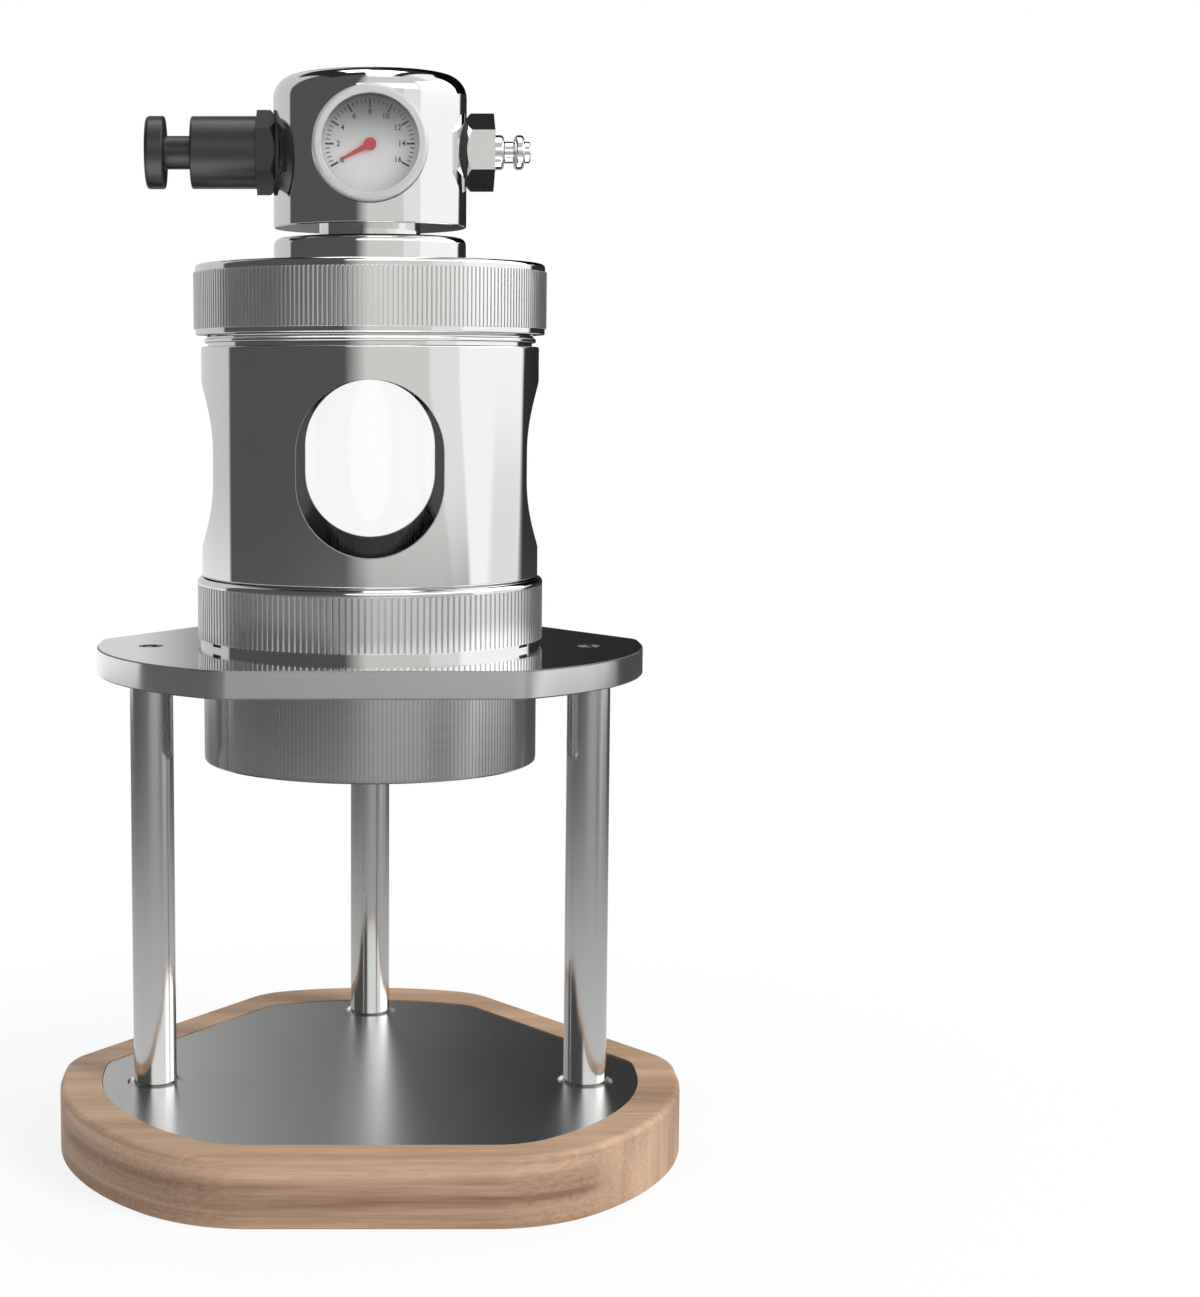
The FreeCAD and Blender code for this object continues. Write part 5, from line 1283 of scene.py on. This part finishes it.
class ESPRESSO_OT_head(bpy.types.Operator):
    """Lid, collar, neck and the round head"""

    bl_idname = "espresso.head"
    bl_label = "Head"

    def execute(self, context):
        dress("chamber_lid", "rod")
        tube("collar", "polished", "lid_collar", COLLAR_BORE, COLLAR_RADIUS, (EDGE, 1.6))
        low, high = span("neck_tube")
        turned("neck", [
            (WATERWAY, low.z), (NECK_SPIGOT, low.z), (NECK_SPIGOT, COLLAR_LOW),
            (NECK_TUBE, COLLAR_LOW), (NECK_TUBE, HEAD_LOW), (NECK_SPIGOT, HEAD_LOW),
            (NECK_SPIGOT, high.z), (WATERWAY, high.z),
        ], "polished", "neck_tube")
        head = turned("head_manifold", [
            (0, HEAD_LOW), (HEAD_RADIUS, HEAD_LOW, 0.4), (HEAD_RADIUS, HEAD_HIGH, HEAD_FILLET),
            (0, HEAD_HIGH),
        ], "polished")
        socket, port, stem = NECK_SPIGOT + FIT, PORT_RADIUS + FIT, GAUGE_STEM + FIT
        tools = [turned("neck_socket", [
            (0, HEAD_LOW - TOOL_END), (socket, HEAD_LOW - TOOL_END), (socket, HEAD_SOCKET_TOP),
            (WATERWAY, HEAD_SOCKET_TOP), (WATERWAY, PORT_Z), (0, PORT_Z),
        ], steps=SMALL_STEPS)]
        for side, seat in ((-1, VALVE_SEAT), (1, INLET_SEAT)):
            profile = ((0, -TOOL_END), (WATERWAY, -TOOL_END), (WATERWAY, PORT_FLOOR),
                       (port, PORT_FLOOR), (port, SPOT_FACE_X), (seat, SPOT_FACE_X),
                       (seat, PORT_END), (0, PORT_END))
            tools.append(turned("side_port", [(radius, side * along) for radius, along in profile],
                                **ON_X))
        pocket, stem_floor = BEZEL_RADIUS + POCKET_GAP, GAUGE_SEAT + GAUGE_STEM_LENGTH
        tools.append(turned("gauge_pocket", [
            (0, stem_floor), (stem, stem_floor), (stem, GAUGE_SEAT), (pocket, GAUGE_SEAT),
            (pocket, POCKET_FRONT), (0, POCKET_FRONT),
        ], **ON_Y))
        cut(head, *tools)
        settle(head, "head_body")
        return {"FINISHED"}


class ESPRESSO_OT_gauge(bpy.types.Operator):
    """Pressure gauge: case, dial with ticks and numbers, needle, lens and ring"""

    bl_idname = "espresso.gauge"
    bl_label = "Pressure gauge"

    def execute(self, context):
        refined("gauge_cup", "gauge_case", "silver")
        turned("gauge_ring", [
            (LENS_SEAT, BEZEL_BACK), (BEZEL_RADIUS, BEZEL_BACK, 0.2),
            (BEZEL_RADIUS, BEZEL_FRONT, 0.9), (DIAL_OPENING, BEZEL_FRONT, 0.2),
            (DIAL_OPENING, LENS_FRONT), (LENS_SEAT, LENS_FRONT),
        ], "silver", "gauge_bezel", **ON_Y)
        refined("dial", "gauge_dial", "dial")
        make_needle()
        tube("lens", "lens", "gauge_lens", 0, LENS_RADIUS, (0.2, 0.2), **ON_Y)
        make_marks()
        return {"FINISHED"}


class ESPRESSO_OT_relief_valve(bpy.types.Operator):
    """Black relief valve with its pull knob"""

    bl_idname = "espresso.relief_valve"
    bl_label = "Relief valve"

    def execute(self, context):
        refined("valve_hexagon", "relief_valve_base", "black")
        tube("valve_washer", "rubber", "relief_valve_washer", WASHER_BORE, VALVE_WASHER,
             (0.4, 0.4), **ON_X)
        low, high = span("relief_valve_barrel")
        guide, seat = low.x + BARREL_WALL, high.x - BARREL_THREAD_LENGTH
        turned("valve_barrel", [
            (BARREL_THREAD, high.x), (BARREL_RADIUS, high.x, 0.15), (BARREL_RADIUS, low.x, 0.5),
            (BARREL_MOUTH, low.x), (BARREL_MOUTH, guide), (BARREL_BORE, guide),
            (BARREL_BORE, seat), (BARREL_THREAD, seat),
        ], "black", "relief_valve_barrel", **ON_X)
        low, high = span("relief_valve_knob")
        back = low.x + KNOB_LENGTH
        turned("valve_knob", [
            (0, low.x), (KNOB_RADIUS, low.x, 0.9), (KNOB_RADIUS, back, 0.5),
            (KNOB_NECK, back, 0.3), (KNOB_NECK, guide), (KNOB_STEM, guide),
            (KNOB_STEM, PISTON_BACK), (PISTON_RADIUS, PISTON_BACK), (PISTON_RADIUS, high.x),
            (0, high.x),
        ], "black", "relief_valve_knob", **ON_X)
        spring("valve_spring", "relief_valve_spring", *VALVE_COIL, "relief_pull", RELIEF_TRAVEL)
        return {"FINISHED"}


class ESPRESSO_OT_air_inlet(bpy.types.Operator):
    """Hexagon adapter and quick-connect plug"""

    bl_idname = "espresso.air_inlet"
    bl_label = "Air inlet"

    def execute(self, context):
        tube("inlet_seal_washer", "rubber", "inlet_washer", WASHER_BORE, INLET_WASHER,
             (0.3, 0.3), **ON_X)
        refined("inlet_hexagon", "inlet_adapter", "polished")
        low, high = span("inlet_plug")
        one, two, three = PLUG_GROOVES
        turned("air_plug", [
            (PLUG_BORE, low.x), (PLUG_SPIGOT, low.x), (PLUG_SPIGOT, PLUG_START),
            (PLUG_RING, PLUG_START, 0.3), (PLUG_RING, one, 0.8), (PLUG_GROOVE, one, 0.4),
            (PLUG_GROOVE, two, 0.4), (PLUG_RING, two, 0.8), (PLUG_RING, three, 0.8),
            (PLUG_GROOVE, three, 0.3), (PLUG_GROOVE, high.x, 0.4), (PLUG_BORE, high.x),
        ], "rod", "inlet_plug", **ON_X)
        dress("check_valve_poppet", "screw")
        spring("poppet_spring", "check_valve_spring", *INLET_COIL,
               "check_valve_open", POPPET_TRAVEL)
        return {"FINISHED"}


class ESPRESSO_OT_stage(bpy.types.Operator):
    """Floor, studio light and camera"""

    bl_idname = "espresso.stage"
    bl_label = "Stage"

    def execute(self, context):
        studio = context.scene.espresso_studio
        make_floor()
        make_world(studio)
        make_lamp(studio)
        make_camera(studio)
        context.scene.view_settings.view_transform = "Standard"
        return {"FINISHED"}


class ESPRESSO_PT_panel(bpy.types.Panel):
    """Lists the operators and settings."""

    bl_idname = "ESPRESSO_PT_panel"
    bl_label = "Espresso maker"
    bl_space_type = "VIEW_3D"
    bl_region_type = "UI"
    bl_category = "Espresso"

    def draw(self, context):
        for operator in OPERATORS:
            self.layout.operator(operator.bl_idname)
        for name, group in SETTINGS:
            box = self.layout.box()
            for setting in group.__annotations__:
                box.prop(getattr(context.scene, name), setting)


SETTINGS = (
    ("espresso_knurls", KnurlSettings),
    ("espresso_finish", FinishSettings),
    ("espresso_studio", StudioSettings),
)
OPERATORS = (
    ESPRESSO_OT_wooden_base, ESPRESSO_OT_plates, ESPRESSO_OT_legs, ESPRESSO_OT_group,
    ESPRESSO_OT_portafilter, ESPRESSO_OT_chamber, ESPRESSO_OT_cap, ESPRESSO_OT_head,
    ESPRESSO_OT_gauge, ESPRESSO_OT_relief_valve, ESPRESSO_OT_air_inlet, ESPRESSO_OT_stage,
)


def register():
    for name, group in SETTINGS:
        bpy.utils.register_class(group)
        setattr(bpy.types.Scene, name, bpy.props.PointerProperty(type=group))
    for operator in (*OPERATORS, ESPRESSO_PT_panel):
        bpy.utils.register_class(operator)


def unregister():
    for operator in (ESPRESSO_PT_panel, *reversed(OPERATORS)):
        bpy.utils.unregister_class(operator)
    for name, group in reversed(SETTINGS):
        delattr(bpy.types.Scene, name)
        bpy.utils.unregister_class(group)


def main():
    """Makes every piece in order."""
    register()
    for operator in OPERATORS:
        family, action = operator.bl_idname.split(".")
        getattr(getattr(bpy.ops, family), action)()


if __name__ == "__main__":
    main()
